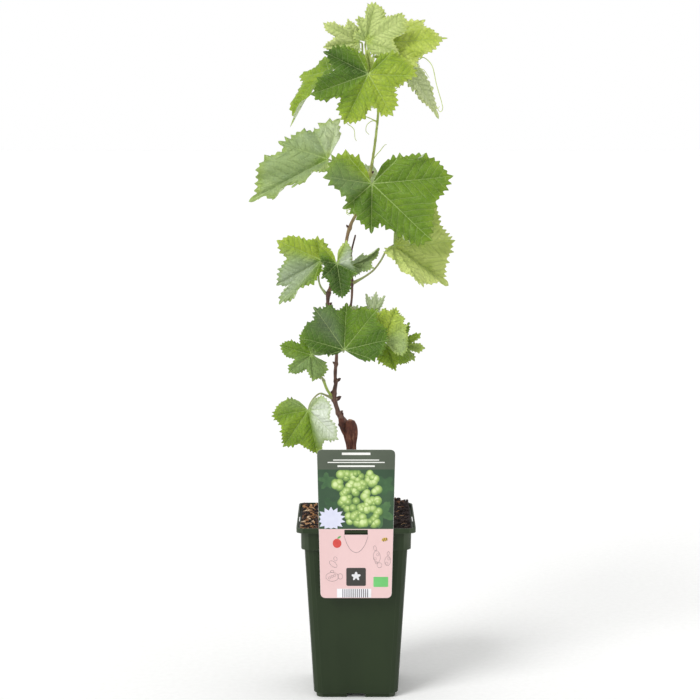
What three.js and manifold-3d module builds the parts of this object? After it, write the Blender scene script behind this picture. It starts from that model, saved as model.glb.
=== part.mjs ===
// A young grafted grapevine in a square nursery pot with a hang label.
// Millimetres, +Z up. The origin is the middle of the pot's flat underside, and the label is on the -Y side.
// Every limb is a tapering tube, and every leaf is a thin five-lobed blade bent from one flat outline.

import * as THREE from 'three'
import { mergeVertices } from 'three/addons/utils/BufferGeometryUtils.js'
import Module from 'manifold-3d'

// ---- Driving dimensions ----

const GAP = 0.35 // clearance left between touching pieces

const POT_HEIGHT = 166
const RIM_WIDTH = 110 // across the rim, outside
const COLLAR_WIDTH = 102 // the straight band under the rim
const BODY_TOP_WIDTH = 95.5
const BODY_FOOT_WIDTH = 79
const WALL = 1.4
const LIP_HEIGHT = 4.5
const COLLAR_HEIGHT = 22
const FOOT_HEIGHT = 3.7
const FOOT_INSET = 2.5
const DRAIN_SLOT_WIDTH = 17.5
const DRAIN_SLOT_DEPTH = 12
const RIM_NOTCH_WIDTH = 25
const RIM_NOTCH_DEPTH = 2.5

const SOIL_LEVEL = 156
const SOIL_UNEVENNESS = 1.6

const LABEL = { width: 72, footWidth: 65.5, top: 240, foot: 101, corner: 5, thickness: 1, front: -56.6 }
const LABEL_SLOT = { width: 21.5, height: 4.7, middle: 163 }

const BLADE_THICKNESS = 1.4
const LARGE_LEAF = 57.5 // leaves longer than this get one more ring of facets
const PETIOLE_RADIUS = 1.0
const STALK_GAP = 0.9 // a stalk's slanting ends stay this far from its stem and its blade

// ---- Materials ----

const look = (color, roughness = 0.6) => new THREE.MeshStandardMaterial({ color, roughness, metalness: 0 })
const POT_GREEN = look('#333d29', 0.45)
const PEAT = look('#3f2c25', 0.95)
const CARD = look('#56604f', 0.4)
const BARK = look('#7a5247', 0.85)
const CANE_BROWN = look('#8b7a58', 0.7)
const SHOOT_GREEN = look('#8c9c55', 0.55)
const LEAF_GREEN = look('#6f9a3c', 0.5)
const YOUNG_GREEN = look('#a5c455', 0.5)
const STALK_GREEN = look('#8d9a66', 0.6)

const grapevine = new THREE.Group()

function add(name, geometry, material) {
  const mesh = new THREE.Mesh(geometry, material)
  mesh.name = name
  grapevine.add(mesh)
  return mesh
}

// ---- Solids ----

const manifold = await Module()
manifold.setup()

function toSolid(geometry) {
  const bare = geometry.clone()
  bare.deleteAttribute('normal')
  bare.deleteAttribute('uv')
  const merged = mergeVertices(bare, 1e-4)
  return new manifold.Manifold(
    new manifold.Mesh({
      numProp: 3,
      vertProperties: new Float32Array(merged.attributes.position.array),
      triVerts: new Uint32Array(merged.index.array),
    }),
  )
}

function fromSolid(solid) {
  const mesh = solid.getMesh()
  return new THREE.BufferGeometry()
    .setAttribute('position', new THREE.BufferAttribute(mesh.vertProperties, 3))
    .setIndex(new THREE.BufferAttribute(mesh.triVerts, 1))
}

// Closed body through a stack of equal rings, with a middle point on the first and the last ring.
function loft(rings, firstMiddle, lastMiddle) {
  const around = rings[0].length
  const points = [...rings.flat(), firstMiddle, lastMiddle]
  const first = points.length - 2
  const last = points.length - 1
  const faces = []
  for (let i = 0; i < around; i++) {
    const j = (i + 1) % around
    faces.push(first, j, i)
    for (let r = 0; r + 1 < rings.length; r++) {
      const low = r * around
      const high = low + around
      faces.push(low + i, low + j, high + j, low + i, high + j, high + i)
    }
    const top = (rings.length - 1) * around
    faces.push(last, top + i, top + j)
  }
  return new THREE.BufferGeometry().setFromPoints(points).setIndex(faces)
}

// ---- Pot ----

const CORNER_STEPS = 3

// Square ring with rounded corners, anticlockwise seen from above.
function squareRing(width, corner, z) {
  const inner = width / 2 - corner
  const ring = []
  for (let quarter = 0; quarter < 4; quarter++) {
    const middle = Math.PI / 4 + (quarter * Math.PI) / 2
    const cx = Math.sign(Math.cos(middle)) * inner
    const cy = Math.sign(Math.sin(middle)) * inner
    for (let s = 0; s <= CORNER_STEPS; s++) {
      const angle = ((quarter + s / CORNER_STEPS) * Math.PI) / 2
      ring.push(new THREE.Vector3(cx + corner * Math.cos(angle), cy + corner * Math.sin(angle), z))
    }
  }
  return ring
}

const collarFoot = POT_HEIGHT - COLLAR_HEIGHT
const lipFoot = POT_HEIGHT - LIP_HEIGHT
const footWidth = BODY_FOOT_WIDTH - 2 * FOOT_INSET
const innerLipWidth = RIM_WIDTH - 2 * WALL
const innerTopWidth = COLLAR_WIDTH - 2 * WALL
const innerFootWidth = BODY_FOOT_WIDTH - 2 * WALL

function pot() {
  const rings = [
    squareRing(footWidth, 6, 0),
    squareRing(footWidth + 0.6, 6, FOOT_HEIGHT),
    squareRing(BODY_FOOT_WIDTH, 8, FOOT_HEIGHT + 0.8),
    squareRing(BODY_TOP_WIDTH, 8, collarFoot),
    squareRing(COLLAR_WIDTH - 0.6, 7, collarFoot + 0.8),
    squareRing(COLLAR_WIDTH, 7, lipFoot),
    squareRing(RIM_WIDTH, 6, lipFoot),
    squareRing(RIM_WIDTH, 6, POT_HEIGHT),
    squareRing(innerLipWidth, 5, POT_HEIGHT),
    squareRing(innerLipWidth - 0.8, 5, lipFoot + WALL),
    squareRing(innerTopWidth, 6, lipFoot + WALL),
    squareRing(innerTopWidth, 6, collarFoot + 2),
    squareRing(BODY_TOP_WIDTH - 2 * WALL, 7, collarFoot + 0.6),
    squareRing(innerFootWidth, 7, FOOT_HEIGHT + 2 * WALL),
  ]
  const floorTop = new THREE.Vector3(0, 0, FOOT_HEIGHT + 2 * WALL)
  let solid = toSolid(loft(rings, new THREE.Vector3(), floorTop))
  for (let side = 0; side < 4; side++) {
    const slot = new THREE.BoxGeometry(DRAIN_SLOT_WIDTH, 2 * DRAIN_SLOT_DEPTH, 2 * FOOT_HEIGHT)
    slot.translate(0, footWidth / 2, 0).rotateZ((side * Math.PI) / 2)
    solid = solid.subtract(toSolid(slot))
  }
  for (const side of [-1, 1]) {
    const notch = new THREE.BoxGeometry(3 * WALL, RIM_NOTCH_WIDTH, 2 * RIM_NOTCH_DEPTH)
    notch.translate((side * RIM_WIDTH) / 2, 0, lipFoot)
    solid = solid.subtract(toSolid(notch))
  }
  return fromSolid(solid)
}

// ---- Soil ----

// The potting mix stands a little uneven, and it is level where the trunk comes out of it.
const TRUNK_FOOT = { x: -3.5, y: 0, radius: 9 }

function soilHeight(x, y) {
  const away = Math.hypot(x - TRUNK_FOOT.x, y - TRUNK_FOOT.y)
  const rise = THREE.MathUtils.smoothstep(away, TRUNK_FOOT.radius + 3, 2.5 * TRUNK_FOOT.radius)
  const lumps = Math.sin(x / 7 + 1) * Math.cos(y / 8) + 0.6 * Math.sin((x + y) / 5)
  return SOIL_LEVEL + rise * (SOIL_UNEVENNESS * lumps + 1.2)
}

function soil() {
  const clear = 2 * GAP
  const wallWidth = (z) => {
    const up = (z - FOOT_HEIGHT - 2 * WALL) / (collarFoot - FOOT_HEIGHT)
    return THREE.MathUtils.lerp(innerFootWidth, BODY_TOP_WIDTH - 2 * WALL, Math.min(up, 1)) - 2 * clear
  }
  const foot = FOOT_HEIGHT + 2 * WALL + GAP
  const rings = [
    squareRing(wallWidth(foot), 6.5, foot),
    squareRing(wallWidth(collarFoot) - 0.5, 6.5, collarFoot + 1),
    squareRing(innerTopWidth - 2 * clear, 6, collarFoot + 3.5),
  ]
  const steps = [1, 0.8, 0.6, 0.4, 0.25]
  for (const step of steps) {
    const ring = squareRing((innerTopWidth - 2 * clear) * step, 6, 0)
    for (const point of ring) {
      point.x += TRUNK_FOOT.x * (1 - step)
      point.z = soilHeight(point.x, point.y)
    }
    rings.push(ring)
  }
  const middle = new THREE.Vector3(TRUNK_FOOT.x, TRUNK_FOOT.y, SOIL_LEVEL)
  return loft(rings, new THREE.Vector3(0, 0, foot), middle)
}

// ---- Label ----

function label() {
  const { width, footWidth: narrow, top, foot, corner, thickness, front } = LABEL
  const outline = new THREE.Shape()
  const corners = [
    [-narrow / 2, foot],
    [narrow / 2, foot],
    [width / 2, top],
    [-width / 2, top],
  ].map(([x, z]) => new THREE.Vector2(x, z))
  corners.forEach((point, i) => {
    const before = corners[(i + 3) % 4].clone().sub(point).setLength(corner).add(point)
    const after = corners[(i + 1) % 4].clone().sub(point).setLength(corner).add(point)
    if (i === 0) outline.moveTo(before.x, before.y)
    else outline.lineTo(before.x, before.y)
    outline.quadraticCurveTo(point.x, point.y, after.x, after.y)
  })
  const slot = new THREE.Path()
  const half = LABEL_SLOT.width / 2
  const low = LABEL_SLOT.middle - LABEL_SLOT.height / 2
  const high = LABEL_SLOT.middle + LABEL_SLOT.height / 2
  slot.moveTo(-half, low).lineTo(-half, high).lineTo(half, high).lineTo(half, low).closePath()
  outline.holes.push(slot)
  const plate = new THREE.ExtrudeGeometry(outline, { depth: thickness, bevelEnabled: false, curveSegments: 4 })
  return plate.rotateX(Math.PI / 2).translate(0, front + thickness, 0)
}

// ---- Limbs ----

// A limb is a closed tapering tube along a smooth curve. Each station is [x, y, z, radius].
function limb(stations, sides, steps) {
  const path = new THREE.CatmullRomCurve3(stations.map(([x, y, z]) => new THREE.Vector3(x, y, z)))
  const frames = path.computeFrenetFrames(steps, false)
  const rings = []
  for (let s = 0; s <= steps; s++) {
    const middle = path.getPointAt(s / steps)
    const place = path.getUtoTmapping(s / steps) * (stations.length - 1)
    const before = Math.min(Math.floor(place), stations.length - 2)
    const radius = THREE.MathUtils.lerp(stations[before][3], stations[before + 1][3], place - before)
    const ring = []
    for (let i = 0; i < sides; i++) {
      const angle = (i / sides) * 2 * Math.PI
      const out = frames.normals[s].clone().multiplyScalar(Math.cos(angle) * radius)
      out.addScaledVector(frames.binormals[s], Math.sin(angle) * radius)
      ring.push(out.add(middle))
    }
    rings.push(ring)
  }
  return loft(rings, path.getPointAt(0), path.getPointAt(1))
}

// The trunk is the rootstock. It flares at the soil and swells at the graft union.
const GRAFT_TOP = 257
const ROOTSTOCK = [
  [TRUNK_FOOT.x, 0, SOIL_LEVEL + GAP, 7.4],
  [-3.7, 0, SOIL_LEVEL + 5, 6.2],
  [-4, 0, SOIL_LEVEL + 14, 5.6],
  [-4.8, 0, 205, 5.5],
  [-5.6, 0, 232, 5.9],
  [-6.3, 0, 243, 7.6],
  [-7.2, 0, 250, 8.0],
  [-7.8, 0, GRAFT_TOP, 5.6],
]

// The scion rises from the left of the graft, zigzags at its nodes and forks twice.
const MAIN_STEM = [
  [-12.4, -1, GRAFT_TOP + 1.6, 2.6],
  [-15.6, -2, 262.5, 2.3],
  [-18.4, -2, 271, 2.0],
  [-21, -2, 280.7, 2.4],
  [-19, -2, 292, 1.7],
  [-19.5, -1, 301, 1.6],
  [-18.2, 0, 318, 1.5],
  [-18.5, 1, 334, 1.5],
  [-23, 1, 352, 1.4],
  [-26.3, 0, 366, 1.5],
  [-25.7, 0, 377.5, 1.9],
]
const LEADING_SHOOT = [
  [-24.8, 0.5, 380.2, 1.6],
  [-20.5, 2, 391, 1.4],
  [-14.6, 4, 406, 1.3],
  [-10, 5, 421, 1.3],
  [-6.1, 5, 437.7, 1.7],
  [0.6, 5, 452, 1.3],
  [8, 4, 472, 1.3],
  [12.8, 3, 488, 1.5],
  [16, 1, 506, 1.2],
  [19.2, 0, 532, 1.1],
  [20.6, 0, 552, 1.3],
  [18.4, 1, 568, 1.1],
  [13.8, 1, 583, 1.1],
  [9.6, 0, 597, 1.0],
]
const SECOND_SHOOT = [
  [-16, 3.2, 341, 1.1],
  [-9, 9, 350, 1.1],
  [-4.4, 13, 367, 1.0],
  [-3.6, 14, 386, 1.2],
  [-4.6, 14, 412, 0.9],
  [-0.6, 13, 430, 0.8],
]
const SIDE_SHOOT = [
  [-24.3, -3.6, 282.6, 1.2],
  [-27.8, -6, 289, 1.3],
  [-30, -8, 296, 1.2],
]

// ---- Leaves ----

// Flat outline of one half of a vine leaf, from the tip round to the stalk bay. Each spoke has its
// angle from the midrib in degrees and its share of the tip, upper, lower and basal lobes' reach.
const HALF_OUTLINE = [
  { angle: 0, shares: [1, 0, 0, 0] },
  { angle: 16, shares: [0.82, 0, 0, 0] },
  { angle: 30, shares: [0.35, 0.35, 0, 0], bay: true },
  { angle: 42, shares: [0, 0.89, 0, 0] },
  { angle: 52, shares: [0, 1, 0, 0] },
  { angle: 66, shares: [0, 0.83, 0, 0] },
  { angle: 82, shares: [0, 0.36, 0.36, 0], bay: true },
  { angle: 104, shares: [0, 0, 1, 0] },
  { angle: 125, shares: [0, 0, 0.5, 0.5] },
  { angle: 146, shares: [0, 0, 0, 1] },
  { angle: 164, shares: [0, 0, 0, 0.67] },
]
const STALK_BAY = 0.12
// Reach of the seven lobes as a share of the leaf's length, from the left base round to the right base.
const EVEN_LOBES = [0.57, 0.75, 0.92, 1, 0.92, 0.75, 0.57]
const RINGS = [0.34, 0.68, 1]
const LARGE_RINGS = [0.25, 0.5, 0.75, 1]
const rad = THREE.MathUtils.degToRad

// The spokes of a leaf as [angle, reach], going round from the left base to the stalk bay.
function spokes({ lobes = EVEN_LOBES, spread = [1, 1], bay = 1, hub = STALK_BAY }) {
  const tip = lobes[3]
  const half = (side, reaches) =>
    HALF_OUTLINE.map(({ angle, shares, bay: inBay }) => {
      const reach = shares.reduce((sum, share, i) => sum + share * reaches[i], 0)
      return [side * angle * spread[side < 0 ? 0 : 1], inBay ? reach * bay : reach]
    })
  const left = half(-1, [tip, lobes[2], lobes[1], lobes[0]]).slice(1)
  return [...left.reverse(), ...half(1, [tip, lobes[4], lobes[5], lobes[6]]), [180, hub]]
}

// Directions of a leaf that faces -Y: heading turns its midrib clockwise from straight up, lean
// brings its tip towards -Y, and roll lifts its right side.
function leafAxes({ heading = 0, lean = 0, roll = 0 }) {
  const [h, a, b] = [heading, lean, roll].map(rad)
  const midrib = new THREE.Vector3(Math.sin(h), 0, Math.cos(h))
  const face = new THREE.Vector3(0, -1, 0)
  const side = new THREE.Vector3(Math.cos(h), 0, -Math.sin(h))
  const along = midrib.clone().multiplyScalar(Math.cos(a)).addScaledVector(face, Math.sin(a))
  const leaned = face.clone().multiplyScalar(Math.cos(a)).addScaledVector(midrib, -Math.sin(a))
  const across = side.clone().multiplyScalar(Math.cos(b)).addScaledVector(leaned, Math.sin(b))
  const up = leaned.clone().multiplyScalar(Math.cos(b)).addScaledVector(side, -Math.sin(b))
  return { across, along, up }
}

// A flat point of the blade after the blade has waved, folded along its midrib and drooped.
function bend(x, y, { size, fold = [0, 0], droop = 0, wave = 0.03 }) {
  const reach = Math.hypot(x, y) / size
  const ripple = size * reach * reach * wave * Math.sin(5 * Math.atan2(x, y) + size)
  const slope = rad(x < 0 ? fold[0] : fold[1])
  const aside = x * Math.cos(slope) - Math.sign(x) * ripple * Math.sin(slope)
  const height = ripple * Math.cos(slope) + Math.abs(x) * Math.sin(slope)
  if (!droop) return new THREE.Vector3(aside, y, height)
  const radius = size / rad(droop)
  const angle = y / radius
  return new THREE.Vector3(
    aside,
    (radius + height) * Math.sin(angle),
    (radius + height) * Math.cos(angle) - radius,
  )
}

// Closed blade: the middle surface, moved half a thickness to each side.
function blade(leaf) {
  const { across, along, up } = leafAxes(leaf)
  const outline = spokes(leaf)
  const around = outline.length
  const shares = leaf.size > LARGE_LEAF ? LARGE_RINGS : RINGS
  const at = new THREE.Vector3(...leaf.at)
  const place = (x, y) => {
    const p = bend(x, y, leaf)
    return at.clone().addScaledVector(across, p.x).addScaledVector(along, p.y).addScaledVector(up, p.z)
  }
  const points = [place(0, 0)]
  for (const share of shares) {
    for (const [angle, reach] of outline) {
      const r = leaf.size * reach * share
      points.push(place(r * Math.sin(rad(angle)), r * Math.cos(rad(angle))))
    }
  }
  const faces = []
  for (let i = 0; i < around; i++) {
    const j = (i + 1) % around
    faces.push(0, 1 + j, 1 + i)
    for (let r = 0; r + 1 < shares.length; r++) {
      const near = 1 + r * around
      const far = near + around
      faces.push(near + i, near + j, far + j, near + i, far + j, far + i)
    }
  }
  const middle = new THREE.BufferGeometry().setFromPoints(points).setIndex(faces)
  middle.computeVertexNormals()
  const normals = middle.getAttribute('normal')
  const shift = (way) =>
    points.map((point, i) => {
      const normal = new THREE.Vector3().fromBufferAttribute(normals, i)
      return point.clone().addScaledVector(normal, (way * BLADE_THICKNESS) / 2)
    })
  const count = points.length
  const edge = count - around
  const closed = [...faces]
  for (let f = 0; f < faces.length; f += 3) {
    closed.push(count + faces[f], count + faces[f + 2], count + faces[f + 1])
  }
  for (let i = 0; i < around; i++) {
    const a = edge + i
    const b = edge + ((i + 1) % around)
    closed.push(a, b, count + b, a, count + b, count + a)
  }
  return new THREE.BufferGeometry().setFromPoints([...shift(1), ...shift(-1)]).setIndex(closed)
}

// The stalk leaves its limb sideways at from, passes near via, and ends under the blade's hub.
function petiole({ at, from, via, thin = 1, ...leaf }) {
  const { up, along } = leafAxes(leaf)
  const hub = new THREE.Vector3(...at)
  const end = hub.clone().addScaledVector(up, -(BLADE_THICKNESS / 2 + STALK_GAP))
  const [x, y, z, stem] = from
  const aim = new THREE.Vector3(...(via ?? at))
  const out = new THREE.Vector3(aim.x - x, aim.y - y, 0).normalize()
  const radius = PETIOLE_RADIUS * thin
  const start = new THREE.Vector3(x, y, z).addScaledVector(out, stem + STALK_GAP)
  const knee = start.clone().addScaledVector(out, 2).add(new THREE.Vector3(0, 0, 0.8))
  const under = end.clone().addScaledVector(up, -3).addScaledVector(along, -2)
  const stations = [
    [...start, radius * 1.5],
    [...knee, radius * 1.1],
    ...(via ? [[...via, radius]] : []),
    [...under, radius],
    [...end, radius * 0.8],
  ]
  return limb(stations, 5, via ? 5 : 4)
}

// at: where the stalk joins the blade. size: from there to the tip. from: a point on a limb's axis and
// the limb's radius there. spread: how far round each half opens. bay: under 1 cuts the bays deeper.
const LEAVES = [
  { name: 'low_left', at: [-44, -30, 272], size: 41, heading: 169, lean: 8, fold: [35, 8], droop: 15,
    lobes: [0.48, 0.6, 0.92, 1, 0.95, 0.75, 0.52], spread: [0.82, 0.88],
    from: [-21, -2, 279.5, 2.4], via: [-35, -16, 285], look: LEAF_GREEN },
  { name: 'mid_left', at: [-41, -20, 322], size: 30, heading: -74, fold: [10, 8], droop: 15,
    lobes: [0.65, 0.74, 0.85, 1, 0.74, 0.42, 0.5], spread: [1.04, 1], bay: 0.8,
    from: [-30, -8, 297, 0], via: [-33, -14, 303], look: LEAF_GREEN },
  { name: 'mid', at: [-11, -36, 329], size: 43, heading: 3, lean: -12, fold: [12, 12], droop: 10,
    lobes: [0.34, 0.9, 1.06, 1, 1.08, 0.9, 0.68], spread: [0.75, 0.72], bay: 1.25,
    from: [-18.5, 1, 334, 1.5], via: [-14, -14, 330], look: LEAF_GREEN },
  { name: 'upright', at: [14.8, -10, 357], size: 22, heading: 10, roll: 180, fold: [30, 30],
    lobes: [0.25, 0.4, 0.95, 1, 0.9, 0.4, 0.25], spread: [0.5, 0.5],
    from: [-5, 12.3, 362, 1.0], via: [8, -2, 349], look: LEAF_GREEN },
  { name: 'right_upper', at: [25.7, -24, 337], size: 31, heading: 22, lean: -15, fold: [20, 20],
    lobes: [0.3, 0.45, 0.85, 1, 0.78, 0.66, 0.75], spread: [0.8, 0.75], bay: 1.2,
    from: [-7.5, 10.5, 353, 1.1], via: [8, -6, 342], look: LEAF_GREEN },
  { name: 'right_lower', at: [28, -12, 331], size: 25, heading: 160, lean: 10, fold: [35, 20],
    lobes: [0.3, 0.5, 1.15, 1, 0.75, 0.5, 0.3], spread: [0.8, 0.8], bay: 1.1,
    from: [-12, 6.7, 345.5, 1.1], via: [9, -2, 331], look: LEAF_GREEN },
  { name: 'right_outer', at: [42, -6, 329], size: 21, heading: 96, lean: 5, fold: [15, 20],
    lobes: [0.3, 1.05, 0.98, 1, 0.85, 0.6, 0.3], spread: [0.75, 0.8], bay: 0.65,
    from: [-6, 11.7, 358, 1.0], via: [20, 6, 343], look: LEAF_GREEN },
  { name: 'left_bent', at: [-32, -8, 409], size: 47, heading: 240, lean: -5, fold: [50, 5], droop: 10,
    lobes: [0.25, 0.5, 1.12, 1, 0.9, 0.42, 0.25], spread: [0.5, 1.05], bay: 0.95,
    from: [-25.7, 0, 377.5, 1.9], via: [-35, 0, 394], look: LEAF_GREEN },
  { name: 'centre', at: [-17.5, -22, 407], size: 33, heading: 171, lean: 15, fold: [12, 20], droop: -15,
    lobes: [0.66, 0.4, 0.62, 1, 0.58, 0.42, 0.64], hub: 0.3,
    from: [-12, 4.6, 414, 1.3], via: [-15, -8, 409], look: LEAF_GREEN },
  { name: 'rolled', at: [-4, -6, 404], size: 29, heading: 60, fold: [50, 50], roll: -20,
    lobes: [0.35, 0.35, 0.66, 1, 0.7, 0.35, 0.35], spread: [0.8, 0.75],
    from: [-4.6, 14, 408, 0.9], via: [-4, 6, 403], look: LEAF_GREEN },
  { name: 'right_wide', at: [34.6, -4, 422], size: 59, heading: 126, lean: -5, fold: [8, 64], droop: 10,
    lobes: [0.4, 0.8, 0.93, 1, 0.78, 0.4, 0.3], spread: [0.76, 0.7],
    from: [-3.6, 14, 386, 1.2], via: [18, 6, 400], look: LEAF_GREEN },
  { name: 'great', at: [14.5, -30, 480.5], size: 70, heading: 181, lean: 5, fold: [8, 15], droop: 12,
    lobes: [0.5, 0.92, 1.02, 0.6, 0.45, 0.56, 0.52], spread: [0.92, 0.93],
    from: [3.5, 4.8, 459, 1.3], via: [8, -12, 470], look: LEAF_GREEN },
  { name: 'left_long', at: [-25.7, -12, 502], size: 75, heading: 243, lean: 5, fold: [62, -5], roll: -10, droop: 12,
    lobes: [0.25, 0.3, 0.55, 1, 0.6, 0.35, 0.48], spread: [0.5, 0.9], bay: 1.15,
    from: [10, 3.6, 478, 1.4], via: [-12, 2, 490], look: LEAF_GREEN },
  { name: 'top', at: [9, -8, 608.5], size: 36, heading: 14, lean: -12, fold: [15, 15],
    lobes: [0.3, 0.3, 0.62, 1, 1.12, 0.78, 0.35], spread: [0.6, 0.95], bay: 0.75,
    from: [9.6, 0, 596, 1.0], look: YOUNG_GREEN },
  { name: 'top_left', at: [3, -2, 608], size: 33, heading: 262, fold: [15, 15],
    lobes: [0.25, 0.4, 0.98, 0.97, 1.08, 0.66, 0.3], spread: [0.55, 0.68], bay: 0.9,
    from: [10.5, 0.3, 594, 1.0], look: YOUNG_GREEN },
  { name: 'top_right', at: [23, 2, 607], size: 57, heading: 85, lean: 5, fold: [-42, 25],
    lobes: [0.3, 0.42, 0.8, 1, 0.68, 0.4, 0.25], spread: [0.6, 0.75],
    from: [12.5, 0.6, 588, 1.1], via: [17, 7, 600], look: YOUNG_GREEN },
  { name: 'top_front', at: [11, -24, 579], size: 48, heading: 206, lean: 8, fold: [8, 8], droop: 12,
    lobes: [0.6, 0.82, 0.86, 1, 1.1, 0.84, 0.48], spread: [1.08, 0.86], bay: 0.8,
    from: [17.6, 1, 571, 1.1], via: [15, -12, 574], look: YOUNG_GREEN },
  { name: 'drooping', at: [-25, 0, 582], size: 55, heading: 226, fold: [25, 0], roll: -60, droop: 15,
    lobes: [0.25, 0.35, 0.6, 1, 0.66, 0.4, 0.25],
    from: [14.5, 1, 580, 1.1], via: [-4, 5, 583], look: YOUNG_GREEN },
  { name: 'narrow', at: [46, 4, 588], size: 51, heading: 145, fold: [25, -10], roll: 60, droop: 10,
    lobes: [0.22, 0.24, 0.45, 1, 0.5, 0.27, 0.22], spread: [0.6, 0.6],
    from: [18, 1, 569, 1.1], via: [34, 5, 586], look: YOUNG_GREEN },
  { name: 'tip', at: [13, -7, 582], size: 18, heading: -8, fold: [50, 50],
    lobes: [0.25, 0.3, 0.7, 1, 0.7, 0.3, 0.25], spread: [0.7, 0.7],
    from: [12.8, 0.7, 586.5, 1.1], look: YOUNG_GREEN },
  { name: 'back_upper', at: [24, 28, 480], size: 38, heading: 170, roll: 180, lean: -12, droop: 15,
    from: [12.6, 3, 487, 1.5], look: LEAF_GREEN },
  { name: 'back_low', at: [-8, 30, 336], size: 27, heading: 20, roll: 180, lean: -10, droop: 15,
    from: [-18.3, 0.6, 328, 1.5], look: LEAF_GREEN },
  { name: 'back_top', at: [8, 26, 574], size: 32, heading: 190, roll: 180, lean: -15, droop: 15,
    from: [19.3, 0.6, 563, 1.1], look: YOUNG_GREEN },
]

// ---- Assembly ----

add('pot', pot(), POT_GREEN)
add('soil', soil(), PEAT)
add('label', label(), CARD)
add('rootstock', limb(ROOTSTOCK, 12, 16), BARK)
add('main_stem', limb(MAIN_STEM, 8, 20), CANE_BROWN)
add('leading_shoot', limb(LEADING_SHOOT, 7, 24), SHOOT_GREEN)
add('second_shoot', limb(SECOND_SHOOT, 6, 14), CANE_BROWN)
add('side_shoot', limb(SIDE_SHOOT, 6, 4), SHOOT_GREEN)
for (const leaf of LEAVES) {
  add(`leaf_${leaf.name}`, blade(leaf), leaf.look)
  add(`petiole_${leaf.name}`, petiole(leaf), STALK_GREEN)
}

export default grapevine
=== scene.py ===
"""A young grafted grapevine in a square nursery pot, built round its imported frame."""

import math
import random

import bpy
import numpy as np
from mathutils import Matrix, Vector, noise
from mathutils.geometry import tessellate_polygon


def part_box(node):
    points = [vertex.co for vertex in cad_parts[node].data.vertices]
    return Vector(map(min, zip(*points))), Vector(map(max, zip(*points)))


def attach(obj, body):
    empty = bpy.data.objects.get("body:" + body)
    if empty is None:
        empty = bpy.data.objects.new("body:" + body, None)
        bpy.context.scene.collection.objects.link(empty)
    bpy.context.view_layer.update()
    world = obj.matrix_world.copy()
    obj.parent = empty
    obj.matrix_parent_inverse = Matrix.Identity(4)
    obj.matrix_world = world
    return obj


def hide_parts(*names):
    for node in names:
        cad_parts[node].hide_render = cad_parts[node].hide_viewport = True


bl_info = {
    "name": "Potted Grapevine",
    "version": (1, 0, 0),
    "blender": (4, 5, 0),
    "location": "3D View > Sidebar > Vine",
    "description": "Builds a young grafted grapevine in its nursery pot",
    "category": "Add Mesh",
}

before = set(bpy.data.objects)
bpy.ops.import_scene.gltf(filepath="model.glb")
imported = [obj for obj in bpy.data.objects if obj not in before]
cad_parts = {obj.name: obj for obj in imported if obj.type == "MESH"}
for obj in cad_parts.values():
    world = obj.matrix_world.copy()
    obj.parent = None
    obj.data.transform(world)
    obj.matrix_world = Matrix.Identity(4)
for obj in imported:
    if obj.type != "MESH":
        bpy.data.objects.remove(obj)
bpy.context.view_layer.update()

MM = 0.001
SEED = 11

# ---- Numbers and colours ----


def linear(code):
    """A colour written as sRGB hex, as linear red, green, blue and alpha."""
    parts = [int(code[i : i + 2], 16) / 255 for i in (1, 3, 5)]
    return (*[c / 12.92 if c <= 0.04045 else ((c + 0.055) / 1.055) ** 2.4 for c in parts], 1.0)


def smooth(low, high, value):
    """0 below low, 1 above high, and an S curve between."""
    u = np.clip((np.asarray(value, float) - low) / (high - low), 0, 1)
    return u * u * (3 - 2 * u)


def spline(values, at):
    """Smooth values through the listed ones, where at counts from the first of them."""
    values = np.asarray(values, float)
    ends = [2 * values[0] - values[1]], [2 * values[-1] - values[-2]]
    padded = np.concatenate([ends[0], values, ends[1]])
    at = np.asarray(at, float)
    i = np.clip(np.floor(at).astype(int), 0, len(values) - 2)
    u = (at - i).reshape(-1, *[1] * (values.ndim - 1))
    a, b, c, d = padded[i], padded[i + 1], padded[i + 2], padded[i + 3]
    return b + 0.5 * u * (c - a + u * (2 * a - 5 * b + 4 * c - d + u * (3 * (b - c) + d - a)))


def unit(vectors):
    """Vectors at length 1."""
    vectors = np.asarray(vectors, float)
    return vectors / np.maximum(np.linalg.norm(vectors, axis=-1, keepdims=True), 1e-12)


# ---- Reading the frame ----

WELD = 0.01 * MM


def welded(node):
    """A node's corner points, which of them share an edge, and which lie inside a flat patch."""
    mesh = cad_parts[node].data
    found = {}
    corner = [found.setdefault(tuple(round(c / WELD) for c in v.co), len(found)) for v in mesh.vertices]
    points = np.zeros((len(found), 3))
    for vertex, i in zip(mesh.vertices, corner):
        points[i] = vertex.co
    near = [set() for _ in found]
    normals = [[] for _ in found]
    for face in mesh.polygons:
        ring = [corner[v] for v in face.vertices]
        for a, b in zip(ring, ring[1:] + ring[:1]):
            near[a].add(b)
            near[b].add(a)
            normals[a].append(face.normal)
    flat = [i for i, around in enumerate(normals) if min(n.dot(around[0]) for n in around) > 0.9999]
    return points, near, flat


def limb_line(node):
    """The middle points and radii of a limb's rings, from its thicker end."""
    points, near, flat = welded(node)
    rings, seen = [[flat[0]]], {flat[0]}
    while True:
        ring = {n for p in rings[-1] for n in near[p]} - seen
        if not ring:
            break
        seen |= ring
        rings.append(sorted(ring))
    rings = rings[1:-1]
    middles = np.array([points[ring].mean(0) for ring in rings])
    radii = np.array([np.linalg.norm(points[ring] - m, axis=1).mean() for ring, m in zip(rings, middles)])
    if radii[-1] > radii[0]:
        return middles[::-1], radii[::-1]
    return middles, radii


SPOKES = 21  # from the left base of a leaf round to its right base; one more crosses the stalk bay
TIP = 10
VEINS = (1, 3, 6, 10, 14, 17, 19)  # the spokes that carry a main vein
BAYS = (0, 2, 4, 8, 12, 16, 18, 20)  # the spokes between them


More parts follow.
